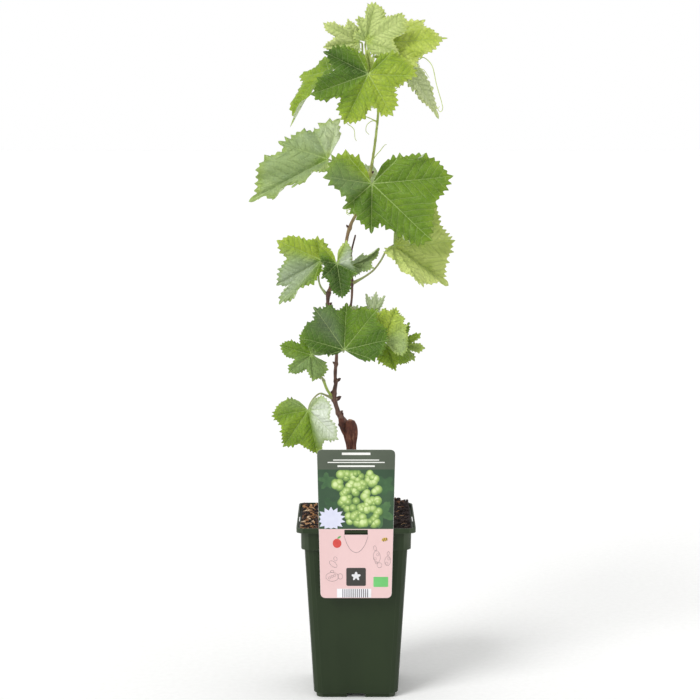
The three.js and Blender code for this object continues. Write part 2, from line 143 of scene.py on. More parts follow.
def spoke_grid(points, near, hub, rings, up):
    """One face of a leaf's solid as [ring][spoke], clockwise seen from above."""
    seen, grid, members = {hub}, [], near[hub]
    for _ in range(rings):
        order = [min(members)]
        while len(order) < len(members):
            order.append(next(n for n in sorted(near[order[-1]]) if n in members and n not in order))
        out = unit(points[order] - points[hub])
        if np.cross(out, np.roll(out, -1, 0)).sum(0) @ up > 0:
            order.reverse()
            out = out[::-1]
        if grid:
            inner = unit(points[grid[-1]] - points[hub])
            turns = [(inner * np.roll(out, -k, 0)).sum() for k in range(len(order))]
            order = list(np.roll(order, -int(np.argmax(turns))))
        grid.append(order)
        seen |= set(order)
        members = {n for p in order for n in near[p]} - seen
    reach = np.linalg.norm(points[grid[-1]] - points[hub], axis=1)
    return points[[np.roll(order, -int(np.argmin(reach)) - 1) for order in grid]]


def leaf_sheet(name):
    """A leaf's middle surface as [ring][spoke], with its hub as ring 0, and its upward direction."""
    points, near, _ = welded("leaf_" + name)
    stalk_end = limb_line("petiole_" + name)[0][-1]
    hubs = sorted(range(len(points)), key=lambda p: -len(near[p]))[:2]
    under, upper = sorted(hubs, key=lambda p: np.linalg.norm(points[p] - stalk_end))
    up = unit(points[upper] - points[under])
    rings = (len(points) // 2 - 1) // (SPOKES + 1)
    faces = [spoke_grid(points, near, hub, rings, up) for hub in (upper, under)]
    middle = (faces[0] + faces[1]) / 2
    hub = (points[upper] + points[under]) / 2
    return np.concatenate([np.broadcast_to(hub, middle[:1].shape), middle])[:, :SPOKES], up


# ---- Making pieces ----


def piece(name, points, faces, materials, stands_for=(), face_slots=None, flat=False):
    """A mesh object that rides with the plant, in metres."""
    mesh = bpy.data.meshes.new(name)
    mesh.from_pydata([tuple(p) for p in points], [], [tuple(int(i) for i in f) for f in faces])
    for material in materials:
        mesh.materials.append(material)
    if face_slots is not None:
        mesh.polygons.foreach_set("material_index", np.asarray(face_slots, np.int32))
    mesh.polygons.foreach_set("use_smooth", [not flat] * len(mesh.polygons))
    mesh.update()
    made = bpy.data.objects.new(name, mesh)
    bpy.context.scene.collection.objects.link(made)
    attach(made, "root")
    if stands_for:
        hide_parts(*stands_for)
    return made


def paint(mesh, name, values, domain="POINT"):
    """Stores a number or a vector for each point or face corner, for the materials to read."""
    values = np.asarray(values, np.float32)
    kind, field = ("FLOAT", "value") if values.ndim == 1 else ("FLOAT_VECTOR", "vector")
    mesh.attributes.new(name, kind, domain).data.foreach_set(field, values.ravel())


def feed(node, inputs):
    """Fills a node's inputs, each from a value or by a link from another node's output."""
    for key, value in inputs.items():
        if isinstance(value, bpy.types.NodeSocket):
            node.id_data.links.new(value, node.inputs[key])
        else:
            node.inputs[key].default_value = value


def add(tree, kind, inputs, stops=(), out=0, **settings):
    """Adds a shader node with its inputs, colour stops and settings, and returns one of its outputs."""
    made = tree.nodes.new("ShaderNode" + kind)
    for key, value in settings.items():
        setattr(made, key, value)
    for i, (place, colour) in enumerate(stops):
        points = made.color_ramp.elements
        stop = points[i] if i < 2 else points.new(place)
        stop.position = place
        stop.color = linear(colour)
    feed(made, inputs)
    return made.outputs[out]


def per(size):
    """The Scale of a pattern whose cells are this wide, in the units of the places it is given."""
    return 1 / size


def finish_named(name):
    """A new material, its node tree and its empty shader."""
    made = bpy.data.materials.new(name)
    made.use_nodes = True
    made.node_tree.nodes.clear()
    shader = made.node_tree.nodes.new("ShaderNodeBsdfPrincipled")
    output = made.node_tree.nodes.new("ShaderNodeOutputMaterial")
    made.node_tree.links.new(shader.outputs[0], output.inputs[0])
    return made, made.node_tree, shader


class Tube:
    """Collects round limbs of any course into one mesh."""

    def __init__(self):
        self.points, self.faces, self.tones = [], [], []

    def limb(self, line, radii, sides=8, relief=None, tone=0.5, dome=(0.5, 0.5)):
        """Adds a limb with rounded ends. relief gives a share of the radius from angle and length."""
        line = np.asarray(line, float)
        along = unit(np.gradient(line, axis=0))
        travel = np.concatenate([[0], np.cumsum(np.linalg.norm(np.diff(line, axis=0), axis=1))])
        side = unit(np.cross(along[0], (0.31, 0.94, 0.12)))
        first = len(self.points)
        self.points.append(line[0] - along[0] * radii[0] * dome[0])
        turn = np.arange(sides) / sides * 2 * math.pi
        for i, (middle, forward, radius) in enumerate(zip(line, along, radii)):
            side = unit(side - forward * (side @ forward))
            across = np.cross(forward, side)
            swell = np.ones(sides) if relief is None else relief(turn, travel[i])
            end = 0.72 if i in (0, len(line) - 1) else 1
            out = np.cos(turn)[:, None] * side + np.sin(turn)[:, None] * across
            self.points.extend(middle + out * (radius * end * swell)[:, None])
        self.points.append(line[-1] + along[-1] * radii[-1] * dome[1])
        last = len(self.points) - 1
        for k in range(sides):
            j = (k + 1) % sides
            self.faces.append((first, first + 1 + j, first + 1 + k))
            for i in range(len(line) - 1):
                low = first + 1 + i * sides
                self.faces.append((low + k, low + j, low + sides + j, low + sides + k))
            self.faces.append((last, last - sides + k, last - sides + j))
        self.tones.extend([tone] * (last - first + 1))

    def solid(self, points, faces, tone=0.5):
        """Adds a small closed body."""
        first = len(self.points)
        self.points.extend(points)
        self.faces.extend(tuple(first + i for i in face) for face in faces)
        self.tones.extend([tone] * len(points))

    def made(self, name, materials, slot, stands_for=(), flat=False):
        """The joined piece."""
        done = piece(name, self.points, self.faces, materials, stands_for, flat=flat)
        paint(done.data, "Tone", self.tones)
        return done


# ---- Materials ----


def leaf_upper():
    """Vine leaf, upper face: a waxy skin over sunken pale veins, so it gleams softly between them, with a
    painted pale sheen mixed into the green of some lobes.
    """
    made, tree, shader = finish_named("vine_leaf_waxy_upper")
    colours = bpy.context.scene.vine_leaves
    flat = add(tree, "Attribute", {}, attribute_name="Flat", out="Vector")
    # Tone is each lobe's green: partly the leaf's own colour, partly painted light and shade.
    tone = add(tree, "Attribute", {}, attribute_name="Tone", out="Fac")
    painted_sheen = add(tree, "Attribute", {}, attribute_name="PaintedSheen", out="Fac")
    main, second, net = vein_masks(tree, flat)
    # The flat places are in mm: the green drifts over 12 mm or so, and is mottled in cells of 2 mm.
    drift = add(tree, "TexNoise", {"Vector": flat, "Scale": per(11.76), "Detail": 3.0})
    mottle = add(tree, "TexNoise", {"Vector": flat, "Scale": per(2.0), "Detail": 2.0})
    drifted = add(tree, "Math", {0: drift, 1: 0.34, 2: tone}, operation="MULTIPLY_ADD")
    mottled = add(tree, "Math", {0: mottle, 1: 0.16, 2: drifted}, operation="MULTIPLY_ADD")
    level = add(tree, "Math", {0: mottled, 1: 0.25}, operation="SUBTRACT")
    stops = [(0, "#26420a"), (1, "#d0dd78"), (0.2, "#44680f"), (0.42, "#66881a"), (0.62, "#8aa628"),
             (0.8, "#acc144")]
    green = add(tree, "ValToRGB", {0: level}, stops)
    # Painted sheen: a pale silvery colour that stands for light gleaming off lobes turned towards it.
    with_painted_sheen = add(tree, "Mix", {0: painted_sheen, 6: green, 7: linear("#dee6d6")}, data_type="RGBA", out=2)
    pale = (*colours.vein_colour, 1.0)
    netted = add(tree, "Math", {0: net, 1: 0.1}, operation="MULTIPLY")
    seconds = add(tree, "Math", {0: second, 1: 0.28}, operation="MULTIPLY")
    mains = add(tree, "Math", {0: main, 1: 0.62}, operation="MULTIPLY")
    lines = add(tree, "Math", {0: netted, 1: seconds}, operation="MAXIMUM")
    lines = add(tree, "Math", {0: lines, 1: mains}, operation="MAXIMUM")
    veined = add(tree, "Mix", {0: lines, 6: with_painted_sheen, 7: pale}, data_type="RGBA", out=2)
    sunk = add(tree, "Math", {0: second, 1: net}, operation="ADD")
    grain = add(tree, "Math", {0: mottle, 1: 0.8, 2: 1.0}, operation="MULTIPLY_ADD")
    height = add(tree, "Math", {0: grain, 1: sunk}, operation="SUBTRACT")
    bump = add(tree, "Bump", {"Strength": 0.8, "Distance": 0.5 * MM, "Height": height})
    rough = add(tree, "MapRange", {0: mottle, 3: 0.36, 4: 0.56})
    skin = {"Base Color": veined, "Roughness": rough, "Normal": bump}
    feed(shader, {**skin, "IOR": 1.45, "Specular IOR Level": 0.32, "Sheen Weight": 0.05})
    return made


def leaf_under():
    """Vine leaf, underside: felted with fine white hairs, so it is pale, dull and soft at the edge."""
    made, tree, shader = finish_named("vine_leaf_felted_under")
    flat = add(tree, "Attribute", {}, attribute_name="Flat", out="Vector")
    # Tone is each lobe's green: partly the leaf's own colour, partly painted light and shade.
    tone = add(tree, "Attribute", {}, attribute_name="Tone", out="Fac")
    main, second, net = vein_masks(tree, flat)
    # Real felt hairs are 0.1 mm across: these flecks are 1.4 mm, so that they show.
    fleck = add(tree, "TexNoise", {"Vector": flat, "Scale": per(1.43), "Detail": 3.0})
    level = add(tree, "Math", {0: fleck, 1: 0.5, 2: tone}, operation="MULTIPLY_ADD")
    stops = [(0.2, "#8ea583"), (1, "#d3dfae"), (0.6, "#b4c69c")]
    felt = add(tree, "ValToRGB", {0: level}, stops)
    seconds = add(tree, "Math", {0: second, 1: 0.6}, operation="MULTIPLY")
    lines = add(tree, "Math", {0: seconds, 1: main}, operation="MAXIMUM")
    greener = linear("#a9bd74")
    veined = add(tree, "Mix", {0: lines, 6: felt, 7: greener}, data_type="RGBA", out=2)
    raised = add(tree, "Math", {0: lines, 1: 1.5, 2: fleck}, operation="MULTIPLY_ADD")
    height = add(tree, "Math", {0: net, 1: 0.4, 2: raised}, operation="MULTIPLY_ADD")
    bump = add(tree, "Bump", {"Strength": 0.7, "Distance": 0.5 * MM, "Height": height})
    rough = add(tree, "MapRange", {0: fleck, 3: 0.78, 4: 0.92})
    feed(shader, {"Base Color": veined, "Roughness": rough, "Normal": bump, "Sheen Weight": 0.35})
    return made


def vein_masks(tree, flat):
    """Where the main veins, their side veins and the fine net run, each from 0 to 1."""
    vein = add(tree, "Attribute", {}, attribute_name="Vein", out="Vector")
    along, across, width = add(tree, "SeparateXYZ", {0: vein}).node.outputs
    aside = add(tree, "Math", {0: across}, operation="ABSOLUTE")
    share = add(tree, "Math", {0: aside, 1: width}, operation="DIVIDE")
    ranges = {0: share, 1: 1.3, 2: 0.6, 3: 0.0, 4: 1.0}
    main = add(tree, "MapRange", ranges, interpolation_type="SMOOTHSTEP")
    place = side_vein_place(tree, along, across, aside)
    gap = add(tree, "Math", {0: place, 1: 0.5}, operation="PINGPONG")
    ranges = {0: gap, 1: 0.085, 2: 0.03, 3: 0.0, 4: 1.0}
    second = add(tree, "MapRange", ranges, interpolation_type="SMOOTHSTEP")
    # The real net is finer, about 1 mm a cell: this one is 2.4 mm, so that it shows.
    cells = {"Vector": flat, "Scale": per(2.38)}
    edge = add(tree, "TexVoronoi", cells, feature="DISTANCE_TO_EDGE", out="Distance")
    net = add(tree, "MapRange", {0: edge, 1: 0.12, 2: 0.02, 3: 0.0, 4: 1.0})
    return main, second, net


SIDE_VEIN_SLOPE = 0.62  # along the main vein for each step away from it
SIDE_VEIN_BOW = 0.07  # how fast that slope grows away from the main vein
SIDE_VEIN_STAGGER = 0.45  # the veins on the two sides leave by turns


def side_vein_place(tree, along, across, aside):
    """Counts side veins outward from the leaf's hub: whole numbers lie on one."""
    bow = {0: aside, 1: SIDE_VEIN_BOW, 2: SIDE_VEIN_SLOPE}
    slope = add(tree, "Math", bow, operation="MULTIPLY_ADD")
    climb = add(tree, "Math", {0: aside, 1: slope}, operation="MULTIPLY")
    lean = add(tree, "Math", {0: along, 1: climb}, operation="SUBTRACT")
    right = add(tree, "Math", {0: across, 1: 0.0}, operation="GREATER_THAN")
    stagger = {0: right, 1: SIDE_VEIN_STAGGER, 2: lean}
    return add(tree, "Math", stagger, operation="MULTIPLY_ADD")


def woody(name, stops, streak, rough, bump_depth, height_mix=None, sheen=0.0):
    """Stem skins share one build: colour in streaks along the stem, with flecks and fine ribs."""
    made, tree, shader = finish_named(name)
    place = add(tree, "TexCoord", {}, out="Object")
    stretched = add(tree, "Mapping", {0: place, 3: (1.0, 1.0, streak)})
    # Real fibres are 0.2 mm wide: these are 1.1 mm, so that they show. Patches are 8 mm, as they are.
    strands = add(tree, "TexNoise", {"Vector": stretched, "Scale": per(1.11 * MM), "Detail": 4.0})
    patches = add(tree, "TexNoise", {"Vector": place, "Scale": per(7.69 * MM), "Detail": 3.0})
    both = add(tree, "Math", {0: strands, 1: patches}, operation="ADD")
    tone = add(tree, "Attribute", {}, attribute_name="Tone", out="Fac")
    level = add(tree, "Math", {0: both, 1: 0.7, 2: tone}, operation="MULTIPLY_ADD")
    level = add(tree, "Math", {0: level, 1: 0.7}, operation="SUBTRACT")
    colour = add(tree, "ValToRGB", {0: level}, stops)
    if height_mix:
        low, high, upper_stops = height_mix
        z = add(tree, "SeparateXYZ", {0: place}, out=2)
        blotch = add(tree, "Math", {0: patches, 1: 0.05, 2: z}, operation="MULTIPLY_ADD")
        share = add(tree, "MapRange", {0: blotch, 1: low, 2: high})
        upper = add(tree, "ValToRGB", {0: level}, upper_stops)
        colour = add(tree, "Mix", {0: share, 6: colour, 7: upper}, data_type="RGBA", out=2)
    bump = {"Strength": 0.8, "Distance": bump_depth, "Height": strands}
    normal = add(tree, "Bump", bump)
    gloss = add(tree, "MapRange", {0: patches, 3: rough - 0.1, 4: rough + 0.1})
    feed(shader, {"Base Color": colour, "Roughness": gloss, "Normal": normal, "Sheen Weight": sheen})
    return made


def stock_bark():
    """Old vine bark, weathered and peeling: reddish brown strips with dark cracks between them."""
    stops = [(0.1, "#211310"), (0.95, "#a07a62"), (0.35, "#4a281e"), (0.6, "#6f4030")]
    return woody("old_vine_bark_peeling", stops, 0.4, 0.85, 1.0 * MM)


def brown_cane():
    """One-year vine wood, dry and finely ribbed: reddish brown with paler streaks."""
    stops = [(0.1, "#261614"), (0.95, "#a08c7c"), (0.4, "#4d322c"), (0.65, "#74554a")]
    return woody("vine_cane_dry_ribbed", stops, 0.1, 0.68, 0.3 * MM)


def ripening_cane(name, low, high):
    """A shoot that is ripening to wood: brown and streaky below one height, waxy green above another."""
    brown = [(0.1, "#4b3329"), (0.95, "#b59c74"), (0.4, "#7b5a44"), (0.65, "#94795a")]
    green = [(0.1, "#74853a"), (0.95, "#cfdb94"), (0.4, "#96a94c"), (0.65, "#aec063")]
    return woody(name, brown, 0.1, 0.5, 0.2 * MM, height_mix=(low, high, green))


def stalk_skin():
    """Leaf stalk, soft and downy: grey green, flushed with red in streaks."""
    stops = [(0.05, "#8a5c4c"), (0.95, "#c3cf9c"), (0.3, "#8b8658"), (0.55, "#95a468")]
    return woody("vine_stalk_downy", stops, 0.25, 0.6, 0.15 * MM, sheen=0.3)


def tendril_skin():
    """Tendril, thin and springy: smooth waxy yellow green."""
    stops = [(0.1, "#95a548"), (0.95, "#dbe4a8"), (0.5, "#bccb72")]
    return woody("vine_tendril_waxy", stops, 0.3, 0.45, 0.05 * MM)


def bud_scale():
    """Bud scales, dry and overlapping: dark red brown with grey woolly edges."""
    stops = [(0.1, "#2c1a18"), (0.95, "#a3948a"), (0.45, "#4f332d"), (0.7, "#7a6158")]
    return woody("vine_bud_scale_dry", stops, 0.3, 0.75, 0.2 * MM)


def moulded_plastic():
    """Polypropylene, injection moulded: dark green with a fine mould grain, dusty, with a painted highlight
    that makes its outer edges paler.
    """
    made, tree, shader = finish_named("polypropylene_moulded_green")
    colours = bpy.context.scene.vine_pot
    place = add(tree, "TexCoord", {}, out="Object")
    # Dust lies in clouds of 36 mm and runs of 17 mm. The real mould grain is 0.2 mm: this one is 0.7 mm.
    dust = add(tree, "TexNoise", {"Vector": place, "Scale": per(35.7 * MM), "Detail": 5.0})
    grain = add(tree, "TexNoise", {"Vector": place, "Scale": per(0.714 * MM), "Detail": 1.0})
    flow = add(tree, "Mapping", {0: place, 3: (1.0, 1.0, 0.06)})
    runs = add(tree, "TexNoise", {"Vector": flow, "Scale": per(16.67 * MM), "Detail": 3.0})
    both = add(tree, "Math", {0: dust, 1: runs}, operation="ADD")
    share = add(tree, "MapRange", {0: both, 1: 0.8, 2: 1.25, 3: 0.0, 4: 0.55})
    body, dusty = (*colours.plastic, 1.0), (*colours.dust, 1.0)
    base = add(tree, "Mix", {0: share, 6: body, 7: dusty}, data_type="RGBA", out=2)
    # The outer edges are painted paler as a highlight, where light would catch the rims and corners.
    edge = add(tree, "Attribute", {}, attribute_name="Edge", out="Fac")
    highlit = add(tree, "Math", {0: edge, 1: 0.8}, operation="MULTIPLY")
    highlight_colour = linear("#7b8472")
    colour = add(tree, "Mix", {0: highlit, 6: base, 7: highlight_colour}, data_type="RGBA", out=2)
    rough = add(tree, "MapRange", {0: both, 1: 0.7, 2: 1.3, 3: 0.42, 4: 0.62})
    bump = {"Strength": 0.25, "Distance": 0.15 * MM, "Height": grain}
    normal = add(tree, "Bump", bump)
    skin = {"Base Color": colour, "Roughness": rough, "Normal": normal}
    feed(shader, {**skin, "IOR": 1.49, "Specular IOR Level": 0.28})
    return made


def crumbly(name, stops, bit, rough=0.95):
    """Potting mix finishes: the tone of each bit, broken up by a grain of the size given."""
    made, tree, shader = finish_named(name)
    place = add(tree, "TexCoord", {}, out="Object")
    grain = add(tree, "TexNoise", {"Vector": place, "Scale": per(bit), "Detail": 5.0})
    tone = add(tree, "Attribute", {}, attribute_name="Tone", out="Fac")
    level = add(tree, "Math", {0: grain, 1: 0.6, 2: tone}, operation="MULTIPLY_ADD")
    level = add(tree, "Math", {0: level, 1: 0.3}, operation="SUBTRACT")
    colour = add(tree, "ValToRGB", {0: level}, stops)
    bump = {"Strength": 0.9, "Distance": 0.6 * MM, "Height": grain}
    normal = add(tree, "Bump", bump)
    dull = add(tree, "MapRange", {0: grain, 3: rough - 0.12, 4: rough})
    feed(shader, {"Base Color": colour, "Roughness": dull, "Normal": normal})
    return made


def peat():
    """Milled peat, damp: nearly black red brown, dull, full of crumbs."""
    stops = [(0.1, "#120b0a"), (0.95, "#574540"), (0.5, "#2a1d1a")]
    return crumbly("peat_milled_damp", stops, 1.11 * MM)


def bark_chips():
    """Composted bark and coir chips: orange brown to straw, with pale broken faces."""
    stops = [(0.05, "#3a2418"), (0.95, "#dcc3a2"), (0.3, "#6e4a31"), (0.55, "#9c7149"), (0.75, "#bf9468")]
    return crumbly("bark_chip_composted", stops, 2 * MM, 0.9)


def printed(name, stops, blot=16.67 * MM, rough=0.32):
    """Printed polypropylene card: flat ink under thin lacquer, faintly uneven, so it shines evenly."""
    made, tree, shader = finish_named(name)
    place = add(tree, "TexCoord", {}, out="Object")
    ink = add(tree, "TexNoise", {"Vector": place, "Scale": per(blot), "Detail": 2.0})
    tone = add(tree, "Attribute", {}, attribute_name="Tone", out="Fac")
    level = add(tree, "Math", {0: ink, 1: 0.5, 2: tone}, operation="MULTIPLY_ADD")
    level = add(tree, "Math", {0: level, 1: 0.25}, operation="SUBTRACT")
    colour = add(tree, "ValToRGB", {0: level}, stops)
    # The lacquer's real ripple is 0.3 mm: this one is 1.4 mm, so that the gloss breaks up.
    fine = add(tree, "TexNoise", {"Vector": place, "Scale": per(1.43 * MM)})
    gloss = add(tree, "MapRange", {0: fine, 3: rough - 0.04, 4: rough + 0.06})
    feed(shader, {"Base Color": colour, "Roughness": gloss, "IOR": 1.5})
    return made


def floor_paint():
    """Studio floor, matt paint rolled on: nearly white, with a faint roller stipple."""
    made, tree, shader = finish_named("floor_paint_rolled_white")
    place = add(tree, "TexCoord", {}, out="Object")
    # A roller leaves dimples of 1 mm: these are 5.6 mm, so that they show from the camera.
    stipple = add(tree, "TexNoise", {"Vector": place, "Scale": per(5.56 * MM), "Detail": 2.0})
    stops = [(0.3, "#f8f8f7"), (0.7, "#fcfcfb")]
    colour = add(tree, "ValToRGB", {0: stipple}, stops)
    feed(shader, {"Base Color": colour, "Roughness": 0.9})
    return made


# ---- Settings ----


def length(name, description, default, low=0.0):
    """A length property in metres."""
    return bpy.props.FloatProperty(
        name=name, description=description, default=default, min=low, precision=4, unit="LENGTH"
    )


def number(name, description, default, low=0.0, kind=bpy.props.FloatProperty, **more):
    """A plain number property."""
    return kind(name=name, description=description, default=default, min=low, **more)


def colour(name, description, code):
    """A colour property, from sRGB hex."""
    return bpy.props.FloatVectorProperty(
        name=name, description=description, subtype="COLOR", size=3, min=0, max=1, default=linear(code)[:3]
    )


class PotSettings(bpy.types.PropertyGroup):
    plastic: colour("Plastic", "Colour of the moulded pot", "#202e16")
    dust: colour("Dust", "Colour of the dust on the pot", "#2a3820")
    edge_round: length("Edge rounding", "Width of the rounding on the pot's edges", 0.5 * MM)
    chip_count: number("Chips", "Bark chips on the soil", 760, 0, bpy.props.IntProperty)
    crumb_count: number("Crumbs", "Peat crumbs on the soil", 1500, 0, bpy.props.IntProperty)


class CardSettings(bpy.types.PropertyGroup):
    header: colour("Header", "Colour of the band across the top", "#56604f")
    thickness: length("Thickness", "Thickness of the card", 0.6 * MM)
    corner: length("Corner radius", "Rounding of the card's corners", 5 * MM)


class StemSettings(bpy.types.PropertyGroup):
    grain: length("Grain", "Distance between rings along a stem", 0.8 * MM, 0.2 * MM)
    node_swell: length("Joint swelling", "How far a stem swells where a leaf leaves it", 0.55 * MM)


class LeafSettings(bpy.types.PropertyGroup):
    vein_colour: colour("Veins", "Colour of the veins on the upper face", "#b5cb82")
    thickness: length("Thickness", "Thickness of a blade", 0.4 * MM)
    tooth_share: number("Tooth spacing", "Tooth spacing as a share of the leaf's length", 0.086, 0.02)
    bulge: number("Bulge", "Height of the bulge between main veins, as a share of the leaf", 0.05)
    tooth_least: length("Least tooth", "Smallest tooth spacing", 3.1 * MM, 1 * MM)
    tooth_depth: number("Tooth depth", "Tooth depth as a share of its spacing", 0.62)


class StageSettings(bpy.types.PropertyGroup):
    distance: length("Distance", "From the camera to the pot's middle plane", 1.75)
    height: length("Height", "Camera height above the floor", 0.5683)
    tilt: number("Tilt", "How far the camera looks down", math.radians(7.95), subtype="ANGLE")
    lens: number("Lens", "Focal length in millimetres", 97.2, 1.0)
    floor: length("Floor", "Width of the floor", 30.0)
    room: number("Room light", "Strength of the light from overhead", 0.5)


# ---- Pot and soil ----


class VINE_OT_pot(bpy.types.Operator):
    """Build the square nursery pot with rounded edges and drain slots"""

    bl_idname = "vine.pot"
    bl_label = "Pot"

    def execute(self, context):
        settings = context.scene.vine_pot
        points, _, _ = welded("pot")
        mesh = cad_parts["pot"].data
        places = {tuple(round(c / WELD) for c in p): i for i, p in enumerate(points)}
        at = [places[tuple(round(c / WELD) for c in v.co)] for v in mesh.vertices]
        faces = [[at[v] for v in face.vertices] for face in mesh.polygons]
        made = piece("nursery_pot", points, faces, [moulded_plastic()], ["pot"], flat=True)
        joined = made.modifiers.new("flats", "DECIMATE")
        joined.decimate_type = "DISSOLVE"
        joined.angle_limit = math.radians(1)
        rounded = made.modifiers.new("rounding", "BEVEL")
        rounded.width = settings.edge_round
        rounded.segments = 3
        rounded.limit_method = "ANGLE"
        rounded.angle_limit = math.radians(14)
        apply_modifiers(made)
        made.data.polygons.foreach_set("use_smooth", [True] * len(made.data.polygons))
        made.data.set_sharp_from_angle(angle=math.radians(28))
        # Edge marks where the painted edge highlight lies.
        paint(made.data, "Edge", painted_edge_highlight(made.data))
        return {"FINISHED"}


def apply_modifiers(made):
    """Turns a piece's modifiers into its mesh."""
    graph = bpy.context.evaluated_depsgraph_get()
    new = bpy.data.meshes.new_from_object(made.evaluated_get(graph))
    made.modifiers.clear()
    made.data = new


STRIP_AREA = 60 * MM * MM  # the largest face that can be a strip of an edge's rounding


def painted_edge_highlight(mesh):
    """How much each point lies on an outer edge: 1 where the faces round it turn outward sharply. The pot's
    painted edge highlight follows it.
    """
    highlit = np.zeros(len(mesh.vertices))
    normals = {}
    for face in mesh.polygons:
        for v in face.vertices:
            normals.setdefault(v, []).append((face.normal.copy(), face.area))
    for v, around in normals.items():
        if max(area for _, area in around) < STRIP_AREA:
            highlit[v] = 1 - min(a[0].dot(b[0]) for a in around for b in around)
    patchy = 0.6 + 0.4 * np.array([noise.noise(v.co * 90) for v in mesh.vertices])
    return np.clip(highlit * 5, 0, 1) * patchy


SOIL_GRID = 118  # points along each side of the soil
STRAND_COUNT = 90
CORNER_SHARE = 0.16  # of the soil's half width


def soil_height(x, y, top):
    """The ground's height: uneven, banked up round the stock and in one corner."""
    lump = noise.noise(Vector((x, y, 0)) * 55) * 1.3 * MM + noise.noise(Vector((x, y, 4)) * 240) * 0.8 * MM
    stock = math.exp(-(((x + 4 * MM) ** 2 + y**2) / (11 * MM) ** 2)) * 1.6 * MM
    heap = 6.5 * MM * math.exp(-(((x - 41 * MM) / (12 * MM)) ** 2 + ((y - 42 * MM) / (13 * MM)) ** 2))
    bank = 2.3 * MM * float(smooth(-15 * MM, 46 * MM, y))
    ledge = 5.2 * MM * float(smooth(36 * MM, 50 * MM, max(abs(x), abs(y))))
    return top - 1.6 * MM + lump + stock + heap + bank + ledge


class VINE_OT_soil(bpy.types.Operator):
    """Build the potting mix: uneven ground, bark chips, coir strands and peat crumbs"""

    bl_idname = "vine.soil"
    bl_label = "Potting mix"

    def execute(self, context):
        settings = context.scene.vine_pot
        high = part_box("soil")[1]
        half = high.x + 2.6 * MM  # it spills over the ledge inside the lip
        corner = half * CORNER_SHARE
        draw = random.Random(SEED)
        steps = np.linspace(-half, half, SOIL_GRID)
        points = []
        for y in steps:
            for x in steps:
                over = max(abs(x) - half + corner, 0), max(abs(y) - half + corner, 0)
                far = math.hypot(*over)
                pull = min(1, corner / far) if far > 0 else 1
                px = math.copysign(abs(x) - over[0] * (1 - pull), x)
                py = math.copysign(abs(y) - over[1] * (1 - pull), y)
                points.append((px, py, soil_height(px, py, high.z)))
        n = SOIL_GRID
        faces = [(j * n + i, j * n + i + 1, (j + 1) * n + i + 1, (j + 1) * n + i)
                 for j in range(n - 1) for i in range(n - 1)]
        front, right = [*range(n)], [j * n + n - 1 for j in range(1, n)]
        back, left = [(n - 1) * n + i for i in range(n - 2, -1, -1)], [j * n for j in range(n - 2, 0, -1)]
        rim = front + right + back + left
        ledge, foot = len(points), len(points) + len(rim)
        inside = high.x / half  # under the ledge it is no wider than the collar
        for z in (high.z + 1.5 * MM, high.z - 13 * MM):
            points += [(points[i][0] * inside, points[i][1] * inside, z) for i in rim]
        count = len(rim)
        rings = [rim, range(ledge, foot), range(foot, foot + count)]
        faces += [(upper[k], lower[k], lower[(k + 1) % count], upper[(k + 1) % count])
                  for upper, lower in zip(rings, rings[1:]) for k in range(count)]
        faces.append(tuple(range(foot + count - 1, foot - 1, -1)))
        ground = piece("peat_ground", points, faces, [peat()], ["soil"])
        paint(ground.data, "Tone", [0.35 + 0.25 * noise.noise(Vector(p) * 200) for p in points])
        chips, crumbs = Tube(), Tube()
        for _ in range(settings.chip_count):
            x, y = self.spot(draw, half)
            if draw.random() < smooth(-10 * MM, 14 * MM, x) * 0.97:
                continue
            body = chip(draw, x, y, soil_height(x, y, high.z))
            chips.solid(*body, tone=draw.choice((0.25, 0.45, 0.55, 0.65, 0.9)))
        for _ in range(STRAND_COUNT):
            x, y = self.spot(draw, half * 0.94)
            chips.limb(*strand(draw, x, y, soil_height(x, y, high.z)), sides=4, tone=draw.uniform(0.4, 0.9))
        for _ in range(settings.crumb_count):
            x, y = self.spot(draw, half)
            crumbs.solid(*crumb(draw, x, y, soil_height(x, y, high.z)), tone=draw.uniform(0.15, 0.75))
        chips.made("bark_chips", [bark_chips()], "soil", flat=True)
        crumbs.made("peat_crumbs", [peat()], "soil", flat=True)
        return {"FINISHED"}

    @staticmethod
    def spot(draw, half):
        """A place on the soil, clear of the stock."""
        while True:
            x, y = draw.uniform(-half, half) * 0.97, draw.uniform(-half, half) * 0.97
            if math.hypot(x + 4 * MM, y) > 8.5 * MM:
                return x, y


def chip(draw, x, y, z):
    """A flat splinter of bark as points and faces."""
    long, wide, thick = draw.uniform(2.2, 5.4) * MM, draw.uniform(0.8, 1.9) * MM, draw.uniform(0.25, 0.6) * MM
    turn = Matrix.Rotation(draw.uniform(0, 6.28), 3, "Z") @ Matrix.Rotation(draw.gauss(0, 0.32), 3, "X")
    turn = turn @ Matrix.Rotation(draw.gauss(0, 0.28), 3, "Y")
    outline = [(-1, -0.3), (-0.62, -1), (0.5, -0.85), (1, 0.1), (0.55, 0.9), (-0.5, 1)]
    outline = [(a * draw.uniform(0.8, 1.1), b * draw.uniform(0.75, 1.2)) for a, b in outline]
    middle = Vector((x, y, z + 0.5 * MM))
    rings = [[turn @ Vector((a * long * s, b * wide * s, h)) + middle for a, b in outline]
             for s, h in ((0.85, -thick), (1, 0), (0.8, thick))]
    n = len(outline)
    faces = [(r * n + i, r * n + (i + 1) % n, (r + 1) * n + (i + 1) % n, (r + 1) * n + i)
             for r in range(2) for i in range(n)]
    faces += [tuple(range(n - 1, -1, -1)), tuple(range(2 * n, 3 * n))]
    return [p for ring in rings for p in ring], faces


